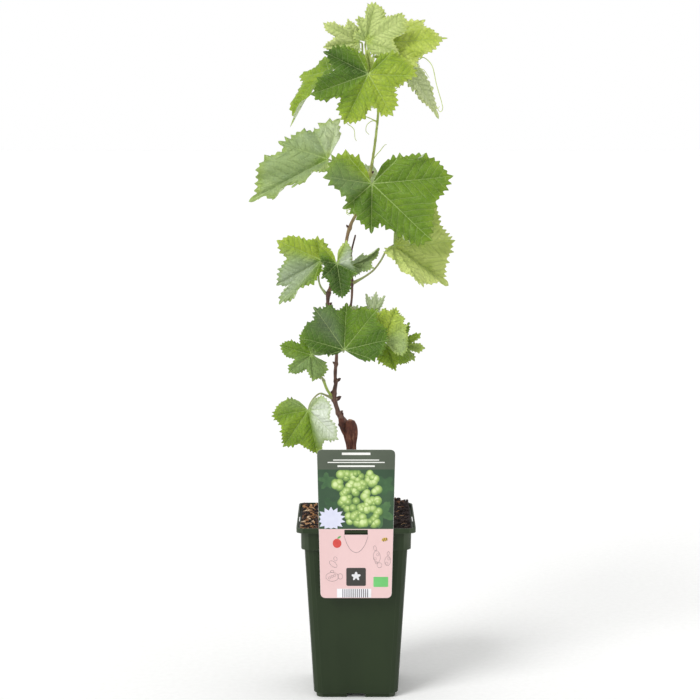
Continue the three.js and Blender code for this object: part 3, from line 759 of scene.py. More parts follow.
CRUMB_POINTS = [Vector(p).normalized() for p in (
    (0, 0, 1),
    (0.9, 0, 0.45), (0.28, 0.85, 0.45), (-0.72, 0.53, 0.45), (-0.72, -0.53, 0.45), (0.28, -0.85, 0.45),
    (0.72, 0.53, -0.45), (-0.28, 0.85, -0.45), (-0.9, 0, -0.45), (-0.28, -0.85, -0.45), (0.72, -0.53, -0.45),
    (0, 0, -1))]
CRUMB_FACES = [f for i in range(5) for f in (
    (0, 1 + i, 1 + (i + 1) % 5), (1 + i, 6 + i, 1 + (i + 1) % 5),
    (1 + (i + 1) % 5, 6 + i, 6 + (i + 1) % 5), (11, 6 + (i + 1) % 5, 6 + i))]


def crumb(draw, x, y, z):
    """A lumpy crumb of peat as points and faces."""
    size = 0.6 * MM + draw.random() ** 3 * 2.0 * MM
    middle = Vector((x, y, z + size * 0.35))
    return [middle + p * size * draw.uniform(0.7, 1.2) for p in CRUMB_POINTS], CRUMB_FACES


def strand(draw, x, y, z):
    """A bent coir strand as its line and radii."""
    way, bow = draw.uniform(0, 6.28), draw.uniform(-1, 1)
    long = draw.uniform(4, 9) * MM
    at = np.linspace(-0.5, 0.5, 6)
    line = [(x + math.cos(way + bow * u) * long * u, y + math.sin(way + bow * u) * long * u,
             z + 1.1 * MM + (0.25 - u * u) * draw.uniform(0, 4) * MM) for u in at]
    return line, [0.22 * MM] * len(at)


# ---- Card ----


INK = 0.06 * MM  # each printed layer stands this far in front of the one below


def plate(joined, outline, front, thick=INK, tone=0.5, holes=()):
    """Adds a flat plate facing -Y to a joined mesh, from its outline in X and Z."""
    loops = [outline, *holes]
    flat = [[Vector((x, z, 0)) for x, z in loop] for loop in loops]
    corners = [p for loop in loops for p in loop]
    n = len(corners)
    points = [(x, front, z) for x, z in corners] + [(x, front + thick, z) for x, z in corners]
    faces = []
    for a, b, c in tessellate_polygon(flat):
        (ax, az), (bx, bz), (cx, cz) = corners[a], corners[b], corners[c]
        if (bx - ax) * (cz - az) - (bz - az) * (cx - ax) < 0:
            b, c = c, b
        faces += [(a, b, c), (n + a, n + c, n + b)]
    first = 0
    for loop in loops:
        m = len(loop)
        area = sum(loop[i - 1][0] * loop[i][1] - loop[i][0] * loop[i - 1][1] for i in range(m))
        outward = (area > 0) == (first == 0)
        for i in range(m):
            a, b = first + i, first + (i + 1) % m
            faces.append((b, a, n + a, n + b) if outward else (a, b, n + b, n + a))
        first += m
    joined.solid(points, faces, tone)


def rounded(corners, radius, steps=8):
    """A polygon's outline with each corner replaced by an arc-like curve."""
    outline = []
    for i, corner in enumerate(corners):
        here, before, after = (Vector(p) for p in (corner, corners[i - 1], corners[(i + 1) % len(corners)]))
        near = here + (before - here).normalized() * radius
        far = here + (after - here).normalized() * radius
        for k in range(steps + 1):
            u = k / steps
            outline.append(tuple((1 - u) ** 2 * near + 2 * u * (1 - u) * here + u * u * far))
    return outline


def box(left, foot, right, top):
    """A rectangle's outline, in mm."""
    return [(x * MM, z * MM) for x, z in ((left, foot), (right, foot), (right, top), (left, top))]


def disc(x, z, wide, high, turn=0.0, sides=18):
    """An oval's outline, in mm."""
    c, s = math.cos(turn), math.sin(turn)
    ways = [2 * math.pi * i / sides for i in range(sides)]
    return [((x + wide * math.cos(a) * c - high * math.sin(a) * s) * MM,
             (z + wide * math.cos(a) * s + high * math.sin(a) * c) * MM) for a in ways]


def leaf_outline(x, z, size, turn):
    """A small printed vine leaf's outline."""
    outline = []
    for i in range(72):
        a = 2 * math.pi * i / 72
        lobes = 0.74 + 0.2 * math.cos(5 * a) + 0.05 * math.cos(25 * a)
        reach = size * lobes * (1 - 0.45 * math.exp(-((a - math.pi) ** 2) * 9))
        outline.append((x + reach * math.sin(a + turn), z + reach * math.cos(a + turn)))
    return outline


# Parts of the card as shares of its height above the foot, and its slot
HEADER_FOOT = 0.868
PICTURE_FOOT = 0.468
SLOT_HALF = 10.75  # mm
SLOT_FOOT, SLOT_TOP = 0.4288, 0.4626
# Each printed leaf's middle in mm across, its height as a share, its size in mm, its turn and its tone
PRINTED_LEAVES = (
    (-24, 0.60, 13, 2.2, 0.3), (22, 0.57, 15, -0.6, 0.62),
    (26, 0.76, 11, 0.7, 0.45), (-27, 0.79, 9, 1.2, 0.55),
)
# Each row of the bunch: its height as a share, its middle and its half width in mm
BUNCH = ((0.845, 0, 15), (0.79, 0, 19), (0.73, 2, 19), (0.66, 4, 18), (0.59, 5, 16), (0.53, 5, 14))
GRAPES_A_ROW = 17
PEN = 0.16 * MM  # half the width of a sketched line
# Sketched ovals: middle across and up, half width, half height and turn, all in mm and radians
SKETCHED_FRUIT = (
    (-21, 133, 4.2, 2.2, -0.7), (-19, 138, 1.5, 2.0, 0.4), (-22, 121, 5.8, 4.2, 0),
    (-14.6, 121.5, 2.2, 2.6, 0), (-22, 126.2, 1.6, 1.0, 0), (19, 140, 3.2, 5.6, 0.1),
    (17.4, 148, 1.3, 2.4, 0.3), (21.5, 132, 2.2, 2.4, 0.2), (29, 136, 2.7, 4.4, -0.1),
    (29.5, 143, 0.9, 2.0, -0.2),
)
SKETCHED_BERRIES = [(x, z, 1.1, 1.1) for x, z in (
    (17.5, 138), (19.8, 142), (18.6, 134.5), (28.2, 134), (30, 138),
    (-22, 121.5), (-24.5, 120), (-19.6, 122.6))]


def ink_layer(joined, name, ink, stops, blot=16.67 * MM, flat=True):
    """Joins one printed layer of the card and gives it its ink."""
    joined.made("card_" + name, [printed("card_ink_" + ink, stops, blot)], "label", flat=flat)


class VINE_OT_card(bpy.types.Operator):
    """Build the hang card with its slot, its coloured bands and its picture of grapes"""

    bl_idname = "vine.card"
    bl_label = "Card"

    def execute(self, context):
        settings = context.scene.vine_card
        self.low, self.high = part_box("label")
        self.narrow = 3.2 * MM  # the foot is this much narrower on each side
        body = Tube()
        front = self.low.y + 4 * INK
        plate(body, self.band(0, 1, settings.corner), front, settings.thickness, holes=[self.slot()])
        plain = [(0.2, "#d8d8d2"), (0.8, "#efefea")]
        body.made("card_sheet", [printed("card_polypropylene_white", plain)], "label", ["label"], flat=True)
        self.print_bands(settings, front)
        self.print_grapes(front)
        self.print_sketches(front)
        return {"FINISHED"}

    def at(self, share):
        """The height of a share of the card."""
        return self.low.z + (self.high.z - self.low.z) * share

    def half(self, share, inset=0.0):
        """Half the card's width at a share of its height."""
        return self.high.x - self.narrow * (1 - share) - inset

    def band(self, foot, top, corner=0.0, inset=0.0):
        """The outline of a band right across the card."""
        corners = [(-self.half(foot, inset), self.at(foot)), (self.half(foot, inset), self.at(foot)),
                   (self.half(top, inset), self.at(top)), (-self.half(top, inset), self.at(top))]
        round_foot = rounded(corners, corner)[:18] if corner and foot <= 0.01 else corners[:2]
        round_top = rounded(corners, corner)[18:] if corner and top >= 0.99 else corners[2:]
        return round_foot + round_top

    def slot(self):
        """The outline of the slot that the pot's rim tongue passes through."""
        return box(-SLOT_HALF, self.at(SLOT_FOOT) / MM, SLOT_HALF, self.at(SLOT_TOP) / MM)

    def print_bands(self, settings, front):
        """The header, the picture's ground and the lower panel, each a layer of ink."""
        inset = 0.15 * MM
        header, ground, panel = Tube(), Tube(), Tube()
        plate(header, self.band(HEADER_FOOT, 1, settings.corner, inset), front - INK)
        plate(ground, self.band(PICTURE_FOOT, HEADER_FOOT, 0, inset), front - INK)
        plate(panel, self.band(0, PICTURE_FOOT, settings.corner, inset), front - INK, holes=[self.slot()])
        grey = [(0.25, "#424b3d"), (0.8, "#545e4d")]
        ink_layer(header, "header", "slate_green", grey)
        leafy = [(0.15, "#1a3320"), (0.85, "#4d6f47"), (0.5, "#2b4a2f")]
        ink_layer(ground, "picture_ground", "leaf_green", leafy, 22.2 * MM)
        pink = [(0.2, "#dcb9b8"), (0.8, "#e8c9c8")]
        ink_layer(panel, "panel", "pink", pink, 40 * MM)
        rules = Tube()
        for share, wide, thick in ((0.965, 13, 2.2), (0.928, 21, 0.9), (0.912, 26, 0.9), (0.885, 17, 1.5)):
            foot = self.at(share) / MM
            plate(rules, box(-wide, foot, wide, foot + thick), front - 2 * INK)
        white = [(0.2, "#dfe0da"), (0.8, "#f6f6f2")]
        ink_layer(rules, "rules", "white", white)

    def print_grapes(self, front):
        """A bunch of grapes, each a little dome shaded from light to dark, over printed leaves."""
        draw = random.Random(SEED + 1)
        leaves, bunch, burst = Tube(), Tube(), Tube()
        foot, top = self.at(PICTURE_FOOT), self.at(HEADER_FOOT)
        limit = 0.6 * MM
        for x, share, size, turn, tone in PRINTED_LEAVES:
            half = self.half(share, limit)
            inside = [(min(max(px, -half), half), min(max(pz, foot + limit), top - limit))
                      for px, pz in leaf_outline(x * MM, self.at(share), size * MM, turn)]
            plate(leaves, inside, front - 1.5 * INK, INK / 2, tone)
        greens = [(0.15, "#24432a"), (0.85, "#557c47"), (0.5, "#375d36")]
        ink_layer(leaves, "leaves", "vine_leaf", greens, 6.25 * MM)
        for share, middle, wide in BUNCH:
            for _ in range(GRAPES_A_ROW):
                x, z = middle + draw.uniform(-wide, wide), self.at(share) + draw.uniform(-4, 4) * MM
                size = draw.uniform(3.4, 4.6) * MM
                z = min(max(z, foot + size + 0.3 * MM), top - size - 0.3 * MM)
                y = front - 1.6 * INK - draw.random() * 0.1 * MM
                self.grape(bunch, x * MM, z, size, y, draw.uniform(-0.3, 0.12))
        green = [(0.0, "#3a5c28"), (1, "#d8e8a8"), (0.3, "#6f9148"), (0.65, "#9dba62")]
        ink_layer(bunch, "grapes", "grape_green", green, 11.1 * MM, flat=False)
        star = []
        for i in range(28):
            a = 2 * math.pi * i / 28
            reach = (13.5 if i % 2 else 9.5) * MM
            x, z = -23 * MM + reach * math.cos(a), self.at(0.535) + reach * 0.86 * math.sin(a)
            star.append((max(x, -self.half(0.5, 0.3 * MM)), max(z, foot + 0.2 * MM)))
        plate(burst, star, front - 3.2 * INK, tone=0.6)
        ink_layer(burst, "burst", "lilac_white", [(0.2, "#b9bcd6"), (0.8, "#dfe1f1")], 11.1 * MM)

    @staticmethod
    def grape(joined, x, z, size, front, shift):
        """One printed grape: a low dome whose tone falls away from a light spot."""
        first = len(joined.points)
        rings = ((0.0, 0.12, 0.92), (0.35, 0.11, 0.8), (0.7, 0.07, 0.55), (1.0, 0.0, 0.2))
        sides = 14
        points, faces, tones = [(x, front - rings[0][1] * MM, z)], [], [rings[0][2]]
        for share, rise, tone in rings[1:]:
            for i in range(sides):
                a = 2 * math.pi * i / sides
                points.append((x + size * share * math.cos(a) - (1 - share) * size * 0.15,
                               front - rise * MM, z + size * share * math.sin(a) + (1 - share) * size * 0.2))
                tones.append(tone + 0.14 * math.sin(a) * share + shift)
        for i in range(sides):
            j = (i + 1) % sides
            faces.append((0, 1 + i, 1 + j))
            for r in range(2):
                low = 1 + r * sides
                faces.append((low + i, low + sides + i, low + sides + j, low + j))
        joined.solid(points, faces)
        joined.tones[first:] = tones

    def print_sketches(self, front):
        """Plain generic drawings on the lower panel: line sketches and small colour patches."""
        lines, dark, green, red, yellow, white = (Tube() for _ in range(6))
        layer = front - 1.6 * INK
        wide, top, drop = 11 * MM, self.at(0.424), 16 * MM
        crease = [(wide * u, layer, top - drop * (1 - u**2) ** 0.8) for u in np.linspace(-1, 1, 22)]
        lines.limb(crease, [PEN] * len(crease), sides=4)
        for ovals, weight, sides in ((SKETCHED_FRUIT, 0.8, 20), (SKETCHED_BERRIES, 0.7, 12)):
            for oval in ovals:
                ring = [(x, layer, z) for x, z in disc(*oval, sides=sides)]
                lines.limb(ring + ring[:1], [PEN * weight] * (sides + 1), sides=4)
        plate(dark, rounded(box(-9, 112.5, 9, 129.5), 1.6 * MM), layer - INK)
        plate(green, rounded(box(16, 111.5, 29.5, 121), 0.8 * MM), layer - INK)
        plate(red, disc(-17.5, 152.6, 4.0, 4.3), layer - INK)
        plate(green, disc(-15.6, 158.2, 1.9, 0.8, 0.6), layer - INK, tone=0.2)
        plate(yellow, disc(26.2, 156.2, 2.9, 1.7, 0.25), layer - INK)
        for x in (24.8, 26.4, 28):
            stripe = disc(x, 156.0 + (x - 26) * 0.25, 0.38, 1.55, 0.25)
            plate(dark, stripe, layer - 2 * INK, tone=0.2)
        foot = self.low.z / MM + 0.5
        plate(white, box(-17.6, foot, 14, foot + 8.3), layer - INK)
        for i in range(13):
            x = -12.6 + 1.9 * i
            plate(dark, box(x, foot, x + 0.8, foot + 8.0), layer - 2 * INK, tone=0.75)
        # A plain leaf on the dark square
        plate(white, leaf_outline(0, 121.5 * MM, 4.6 * MM, 0.0), layer - 2 * INK, tone=0.35)
        ink_layer(lines, "line_sketches", "pen_grey", [(0.3, "#6c6266"), (0.8, "#8a7f82")], flat=False)
        charcoal = [(0.2, "#2b2926"), (0.9, "#7d7884"), (0.55, "#35332f")]
        ink_layer(dark, "dark_square", "charcoal", charcoal)
        ink_layer(green, "green_patch", "bright_green", [(0.1, "#4f9a4b"), (0.8, "#7bd981")])
        ink_layer(red, "fruit_spot", "red", [(0.2, "#b5302c"), (0.8, "#dc5147")], 2.5 * MM)
        ink_layer(yellow, "bee_spot", "yellow", [(0.2, "#c9a13c"), (0.8, "#e6c45c")], 2.5 * MM)
        ink_layer(white, "white_strip", "soft_white", [(0.2, "#cfcfd2"), (0.6, "#efeff2")])


# ---- Stems ----


def resampled(middles, radii, step, extend=(0.0, 0.0)):
    """A limb's line and radii at an even step, each end run on by a length."""
    middles, radii = np.array(middles, float), np.array(radii, float)
    middles[0] -= unit(middles[1] - middles[0]) * extend[0]
    middles[-1] += unit(middles[-1] - middles[-2]) * extend[1]
    long = np.linalg.norm(np.diff(middles, axis=0), axis=1).sum()
    at = np.linspace(0, len(middles) - 1, max(6, int(long / step)))
    return spline(middles, at), np.maximum(spline(radii, at), 0.1 * MM)


def leaf_names():
    """The leaves in the frame, by name."""
    return sorted(node[5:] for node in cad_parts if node.startswith("leaf_"))


class VINE_OT_stems(bpy.types.Operator):
    """Build the barked stock and the canes, swollen and bent at their joints"""

    bl_idname = "vine.stems"
    bl_label = "Stock and canes"

    def execute(self, context):
        settings = context.scene.vine_stems
        joints = [limb_line("petiole_" + name)[0][0] for name in leaf_names()]
        self.stock(settings)
        ripening = ripening_cane("vine_shoot_waxy_ripening", 0.45, 0.56)
        green = ripening_cane("vine_side_shoot_waxy_green", 0.1, 0.3)
        for node, name, material, slot, ends in (
            ("main_stem", "main_cane", brown_cane(), "cane", (5 * MM, 1.6 * MM)),
            ("second_shoot", "second_cane", brown_cane(), "cane", (3.2 * MM, 0.5 * MM)),
            ("leading_shoot", "leading_cane", ripening, "green_shoot", (2 * MM, 1 * MM)),
            ("side_shoot", "side_cane", green, "green_shoot", (2.6 * MM, 0.8 * MM)),
        ):
            line, radii = resampled(*limb_line(node), settings.grain, ends)
            for joint in joints:
                gap = np.linalg.norm(line - joint, axis=1)
                if gap.min() < 4 * MM:
                    away = gap - gap.min()
                    radii = radii + settings.node_swell * np.exp(-((away / (1.6 * MM)) ** 2))
            if node in ("main_stem", "leading_shoot"):
                for height, _, _ in BUDS:
                    radii = radii + settings.node_swell * np.exp(-(((line[:, 2] - height) / (1.5 * MM)) ** 2))
            cane = Tube()
            cane.limb(line, radii, 16, self.ribbed, dome=(0.3, 0.6))
            cane.made(name, [material], slot, [node])
        return {"FINISHED"}

    @staticmethod
    def ribbed(turn, run):
        """Fine ribs round a cane, with a slow unevenness along it."""
        lumps = [noise.noise(Vector((math.cos(a), math.sin(a), run * 240))) for a in turn]
        return 1 + 0.05 * np.cos(turn * 7) + 0.16 * np.array(lumps)

    @staticmethod
    def stock(settings):
        """The grafted stock: strips of bark on a knobbly swelling, cut off flat beside the graft."""
        line, radii = resampled(*limb_line("rootstock"), settings.grain, (3 * MM, 0))
        radii = radii * 0.76
        line[:, 0] += 1.4 * MM
        span = np.linalg.norm(line[-1] - line[0])

        def bark(turn, run):
            share = run / span
            knob = 0.16 * smooth(0.72, 0.92, share)
            swell = []
            for a in turn:
                way = Vector((math.cos(a) * 1.6, math.sin(a) * 1.6, run * 26))
                strip = Vector((math.cos(a) * 5.5, math.sin(a) * 5.5, run * 60))
                swell.append(1 + 0.2 * noise.noise(strip) + (0.08 + 1.6 * knob) * noise.noise(way))
            return np.array(swell)

        stock = Tube()
        stock.limb(line, radii, 44, bark, dome=(0.2, 0.12))
        stock.made("grafted_stock", [stock_bark()], "old_bark", ["rootstock"])
        strips = Tube()
        draw = random.Random(SEED + 2)
        for _ in range(46):
            start = draw.uniform(0.04, 0.86)
            turn = draw.uniform(0, 2 * math.pi)
            long = draw.uniform(0.05, 0.16)
            at = np.linspace(start, min(start + long, 0.97), 9) * (len(line) - 1)
            middles, reach = spline(line, at), spline(radii, at)
            way = turn + draw.uniform(-0.3, 0.3) * np.linspace(0, 1, 9)
            lift = 1.0 + 0.05 * np.sin(np.linspace(0, 3.1, 9))
            out = np.stack([np.cos(way), np.sin(way), np.zeros(9)], 1) * (reach * lift)[:, None]
            thick = np.sin(np.linspace(0.25, 2.9, 9)) * draw.uniform(0.35, 0.8) * MM
            strips.limb(middles + out, thick, 6, tone=draw.uniform(0.3, 0.85))
        top = line[-1]
        stub = [top + np.array((0.8, 0, -2.5)) * MM, top + np.array((1.2, 0, 1.0)) * MM]
        strips.limb(stub, [3.2 * MM, 2.7 * MM], 14, bark, tone=1.2, dome=(0.2, 0.05))
        strips.limb(*spur(), 12, bark, tone=0.4)
        strips.made("bark_strips", [stock_bark()], "old_bark")


def spur():
    """The old wood on the left of the graft, where the cane was grafted on, as points and radii."""
    course = (-13.6, -0.5, 265), (-13.9, -1.5, 259), (-12.8, -2, 252), (-10.5, -1.5, 245), (-8, -1, 240)
    return resampled(np.array(course) * MM, np.array((2.0, 2.7, 2.9, 2.3, 1.2)) * MM, 0.8 * MM)


# Buds by height above the floor, with the side that each one points to and its length
BUDS = (
    (0.2945, 1, 5.4), (0.2765, 1, 7.0), (0.2610, -1, 4.6), (0.2645, 1, 4.4), (0.2835, -1, 2.8),
    (0.2515, -1, 4.2), (0.3105, -1, 3.8), (0.3220, 1, 3.4), (0.3340, 1, 3.4), (0.3660, 1, 4.4),
    (0.4060, 1, 3.6), (0.4377, -1, 4.0), (0.4590, -1, 3.6), (0.4880, 1, 4.0), (0.5545, 1, 4.6),
    (0.5700, -1, 3.6),
)


class VINE_OT_buds(bpy.types.Operator):
    """Build the buds, each a cone of overlapping scales, at the joints of the canes"""

    bl_idname = "vine.buds"
    bl_label = "Buds"

    def execute(self, context):
        joined = Tube()
        lines = [limb_line(node) for node in ("main_stem", "leading_shoot")]
        for height, side, long in BUDS:
            middles, radii = spur() if height < 0.264 else lines[0] if height < 0.379 else lines[1]
            order = np.argsort(middles[:, 2])
            at = np.interp(height, middles[order, 2], order)
            start = spline(middles, [at])[0]
            stem = float(spline(radii, [at])[0])
            out = unit((side, -0.35, 0.0))
            way = unit(out * 0.75 + np.array((0, 0, 0.75)))
            foot = start + out * stem * 0.6
            for k in range(3):
                tilt = unit(way + np.array((0.16 * math.cos(2.1 * k), 0.16 * math.sin(2.1 * k), 0)))
                at = np.linspace(0, 1, 8)
                line = foot + tilt * (at * long * MM * (1 - 0.16 * k))[:, None]
                fat = np.sin(np.clip(at * 2.6 + 0.45, 0, 3.1)) * long * MM * (0.27 - 0.03 * k)
                joined.limb(line, np.maximum(fat, 0.12 * MM), 8, tone=0.4 + 0.2 * k)
        joined.made("buds", [bud_scale()], "cane")
        return {"FINISHED"}


# Tendrils: points that each one passes, in mm
TENDRILS = (
    ((18, 1, 575), (38, 2, 586), (56.7, 2, 592), (62, -2, 594), (69.4, -6, 586.4), (73.3, -8, 570),
     (78.5, -8, 552.2), (79, -7, 547), (77, -5, 545), (75, -4, 547.5), (76.5, -6, 550)),
    ((20, 1, 556), (30, -3, 562), (42.1, -8, 570.2), (45.2, -10, 576.5), (49.2, -10, 581), (60.2, -9, 583.7),
     (66.8, -6, 575.6)),
    ((20, -1, 532), (19.2, -3, 531.1), (18.2, -6, 535.7), (14.5, -8, 536.6), (10, -6, 533), (9.1, 0, 527.4),
     (12, 3, 524)),
    ((19.6, 0, 536), (6, 4, 541), (-6.5, 2, 539.2), (-8.7, -2, 534.9), (-2.2, -5, 529.3), (-1, -5, 521.1),
     (0.4, -3, 518.3)),
    ((14.6, 2, 497), (17.1, -4, 503.5), (21.9, -6, 509.2), (26.1, -4, 514.4), (28, -1, 515)),
    ((-1, 4.6, 448.9), (-3.7, 0, 452.9), (-7.4, -4, 456.8), (-8.4, -6, 453.3), (-4.7, -5, 451.4),
     (-1.9, -3, 454), (-5.6, -1, 455.7), (-9, 1, 452), (-6, 2, 449.5)),
)


class VINE_OT_tendrils(bpy.types.Operator):
    """Build the curling tendrils near the top and at the middle joint"""

    bl_idname = "vine.tendrils"
    bl_label = "Tendrils"

    def execute(self, context):
        joined = Tube()
        for course in TENDRILS:
            points = np.array(course, float) * MM
            at = np.linspace(0, len(points) - 1, len(points) * 9)
            line = spline(points, at)
            radii = np.linspace(0.52, 0.26, len(at)) * MM
            joined.limb(line, radii, 7, tone=0.5)
        joined.made("tendrils", [tendril_skin()], "stalk")
        return {"FINISHED"}


# ---- Leaves ----

# Tones of the seven lobes from the left base round to the right base, 0 dark to 9 pale, partly the
# leaf's own green and partly painted light and shade on lobes turned towards or away from the light,
# then the painted pale sheen of each lobe in the same order, how far the tip tooth is drawn out, and
# how much further the blade reaches in its bays than its solid does.
LOOKS = {
    "low_left": ("6555555", "4980001", 1.2, 0.17),
    "mid_left": ("4444444", "1110011", 1.2, 0.08),
    "mid": ("1213422", "0010000", 1.2, 0.12),
    "upright": ("5555555", "6667666", 1.0, 0.1),
    "right_upper": ("7778766", "0000122", 1.2, 0.2),
    "right_lower": ("4456655", "1100000", 1.2, 0.2),
    "right_outer": ("5566655", "0001122", 1.2, 0.2),
    "left_bent": ("5543776", "0034000", 1.2, 0.12),
    "centre": ("7321117", "1700000", 1.0, 0.15),
    "rolled": ("4445544", "3332222", 1.0, 0.15),
    "right_wide": ("7889999", "2111111", 2.6, 0.3),
    "great": ("4443336", "0000010", 1.2, 0.26),
    "left_long": ("7555557", "2222235", 2.4, 0.25),
    "top": ("8888888", "2222222", 1.2, 0.4),
    "top_left": ("9999999", "3322222", 1.2, 0.1),
    "top_right": ("9998999", "0000000", 1.6, 0.25),
    "top_front": ("6776315", "0000000", 1.2, 0.2),
    "drooping": ("4456655", "0000000", 3.2, 0.05),
    "narrow": ("9999999", "4444444", 3.0, 0.17),
    "tip": ("9999999", "1111111", 1.2, 0.3),
    "back_upper": ("5554555", "0000000", 1.2, 0.2),
    "back_low": ("4444444", "0000000", 1.2, 0.2),
    "back_top": ("6677766", "0000000", 1.2, 0.25),
}
YOUNG = ("top", "top_left", "top_right", "top_front", "drooping", "narrow", "tip", "back_top")
DIVISIONS = 8  # a spoke gap is cut into a multiple of this, so that it can be halved towards the hub


class Leaf:
    """Works out one blade: its fine surface, its teeth, its veins and its colours."""

    def __init__(self, name, settings):
        self.name = name
        self.settings = settings
        self.sheet, self.up = leaf_sheet(name)
        self.rings = len(self.sheet) - 1
        steps = np.linalg.norm(np.diff(self.sheet, axis=0), axis=2)
        self.reach = steps.sum(0)
        self.size = float(self.reach.max())
        out = unit(self.sheet[1] - self.sheet[0])
        turns = np.arccos(np.clip((out[1:] * out[:-1]).sum(1), -1, 1))
        self.angles = np.concatenate([[0], np.cumsum(turns)])
        self.angles -= self.angles[TIP]
        self.number = sorted(LOOKS).index(name)
        self.draw = random.Random(SEED + 7 * self.number)
        self.spacing = max(settings.tooth_least, settings.tooth_share * self.size)
        self.stations()
        self.surface()
        self.shape()

    def stations(self):
        """Places round the leaf and out from the hub, fine enough for the teeth."""
        grain = min(0.95 * MM, self.spacing / 4.6)
        edge = self.sheet[-1]
        gaps = np.linalg.norm(np.diff(edge, axis=0), axis=1)
        counts = [DIVISIONS * max(1, round(gap / grain / DIVISIONS)) for gap in gaps]
        self.spoke = np.concatenate([k + np.arange(n) / n for k, n in enumerate(counts)] + [[SPOKES - 1]])
        rows = max(9, round(self.size / (1.5 * MM)))
        self.out = np.linspace(1, 0.035, rows)

    def surface(self):
        """Points, directions and flat places of every row, before the teeth and the relief."""
        rounds = np.stack([spline(ring, self.spoke) for ring in self.sheet])
        bays = np.zeros(SPOKES)
        fill = LOOKS[self.name][3]
        bays[[4, 8, 12, 16]] = fill
        bays[[3, 5, 7, 9, 11, 13, 15, 17]] = fill * 0.35
        bays[[2, 18]] = fill * 0.6
        stretch = 1 + np.maximum(spline(bays, self.spoke), 0)
        at = self.out[:, None] * stretch * self.rings
        self.points = np.stack([spline(rounds[:, c], at[:, c]) for c in range(len(self.spoke))], 1)
        around = np.gradient(self.points, axis=1)
        outward = np.gradient(self.points, axis=0)
        self.normals = unit(np.cross(around, outward))
        if (self.normals @ self.up).mean() < 0:
            self.normals = -self.normals
        self.theta = spline(self.angles, self.spoke)
        self.far = self.out[:, None] * (spline(self.reach, self.spoke) * stretch)[None, :]
        self.gap = max(4.5 * MM, 0.105 * self.size)
        sector = np.clip(np.searchsorted(BAYS, self.spoke, "right") - 1, 0, len(VEINS) - 1)
        self.sector = sector
        self.centre = self.angles[list(VEINS)]

    def vein(self, theta, far, sector):
        """How far along its main vein and across from it each place is, and the vein's half width.

        All three count in gaps between side veins.
        """
        turn = theta - self.centre[sector]
        along, across = far * np.cos(turn) / self.gap, far * np.sin(turn) / self.gap
        share = np.clip(far / self.reach[list(VEINS)][sector], 0, 1)
        width = (0.25 * MM + 0.006 * self.size) * (1 - 0.72 * share)
        return along, across, width / self.gap

    def teeth(self):
        """How far the margin stands out at each place round the leaf."""
        edge = self.points[0]
        travel = np.concatenate([[0], np.cumsum(np.linalg.norm(np.diff(edge, axis=0), axis=1))])
        height = np.zeros(len(edge))
        depth = self.settings.tooth_depth * self.spacing
        for bay, peak in [*zip(BAYS, VEINS), *zip(BAYS[1:], VEINS)]:
            low, high = sorted((bay, peak))
            inside = np.nonzero((self.spoke >= low) & (self.spoke <= high))[0]
            run = travel[inside] - travel[inside[0]]
            run = run / run[-1] if peak > bay else 1 - run / run[-1]
            count = max(1, round((travel[inside[-1]] - travel[inside[0]]) / self.spacing - 0.5))
            at = run * (count + 0.7)
            tall = np.array([self.draw.choice((0.55, 0.9, 1.0, 1.35)) for _ in range(count + 1)])
            tall[-1] = LOOKS[self.name][2] if peak == TIP else 1.35
            whole = np.minimum(np.floor(at).astype(int), count)
            share = at - whole
            rise = np.where(share < 0.7, (share / 0.7) ** 1.5, np.maximum((1 - share) / 0.3, 0))
            height[inside] = np.maximum(height[inside], rise * tall[whole] * depth)
        return height - 0.3 * depth

    def shape(self):
        """Adds the teeth, the curl of the margin, the sunken veins and the puckers between them."""
        edge_way = np.gradient(self.points[0], axis=0)
        outward = unit(np.cross(edge_way, self.normals[0]))
        outward *= np.sign(((self.points[0] - self.points[2]) * outward).sum())
        near_edge = smooth(0.8, 1.0, self.out)[:, None]
        grown = near_edge[..., None] * (outward * self.teeth()[:, None])[None]
        theta = np.broadcast_to(self.theta, self.far.shape)
        sector = np.broadcast_to(self.sector, self.far.shape)
        along, across, _ = self.vein(theta, self.far, sector)
        aside = np.abs(across)
        stagger = np.where(across > 0, SIDE_VEIN_STAGGER, 0)
        place = along - aside * (SIDE_VEIN_SLOPE + SIDE_VEIN_BOW * aside) + stagger
        size = self.size / (60 * MM)
        inside = smooth(0, 0.5, aside) * (1 - 0.75 * smooth(0.85, 1, self.out)[:, None])
        turn = np.abs(theta - self.centre[sector]) / (math.pi / 7)
        bulge = (1 - np.cos(math.pi * np.minimum(turn, 1))) / 2 * smooth(0.05, 0.6, self.out)[:, None]
        bulge = bulge * self.settings.bulge * self.size * (1 - 0.8 * smooth(0.75, 1, self.out)[:, None])
        pucker = 0.95 * MM * size**0.5 * np.abs(np.sin(math.pi * place)) ** 0.8 * inside
        groove = -0.5 * MM * size**0.5 * np.exp(-((aside / 0.25) ** 2)) * smooth(0.0, 0.15, self.out)[:, None]
        shift = self.draw.uniform(0, 6.28)
        travel = np.cumsum(np.linalg.norm(np.gradient(self.points[0], axis=0), axis=1))
        curl = np.sin(travel / (5.2 * MM) + shift) + 0.7 * np.sin(travel / (3.1 * MM) + 2 * shift)
        wave = 0.026 * self.size * curl[None, :] * smooth(0.45, 1, self.out)[:, None] ** 1.5
        lift = pucker + groove + wave + bulge
        self.points = self.points + grown + self.normals * lift[..., None]
        flat_x, flat_y = self.far * np.sin(theta) / MM, self.far * np.cos(theta) / MM
        self.flat = np.stack([flat_x, flat_y, np.full_like(flat_x, 40.0 * self.number)], -1)
        around, out = np.gradient(self.points, axis=1), np.gradient(self.points, axis=0)
        fresh = unit(np.cross(around, out))
        self.normals = fresh if (fresh @ self.up).mean() > 0 else -fresh

    def lobes(self, digits):
        """A value of each lobe, spread smoothly over the leaf."""
        values = np.array([int(d) / 9 for d in digits])
        return np.interp(self.spoke, VEINS, values)

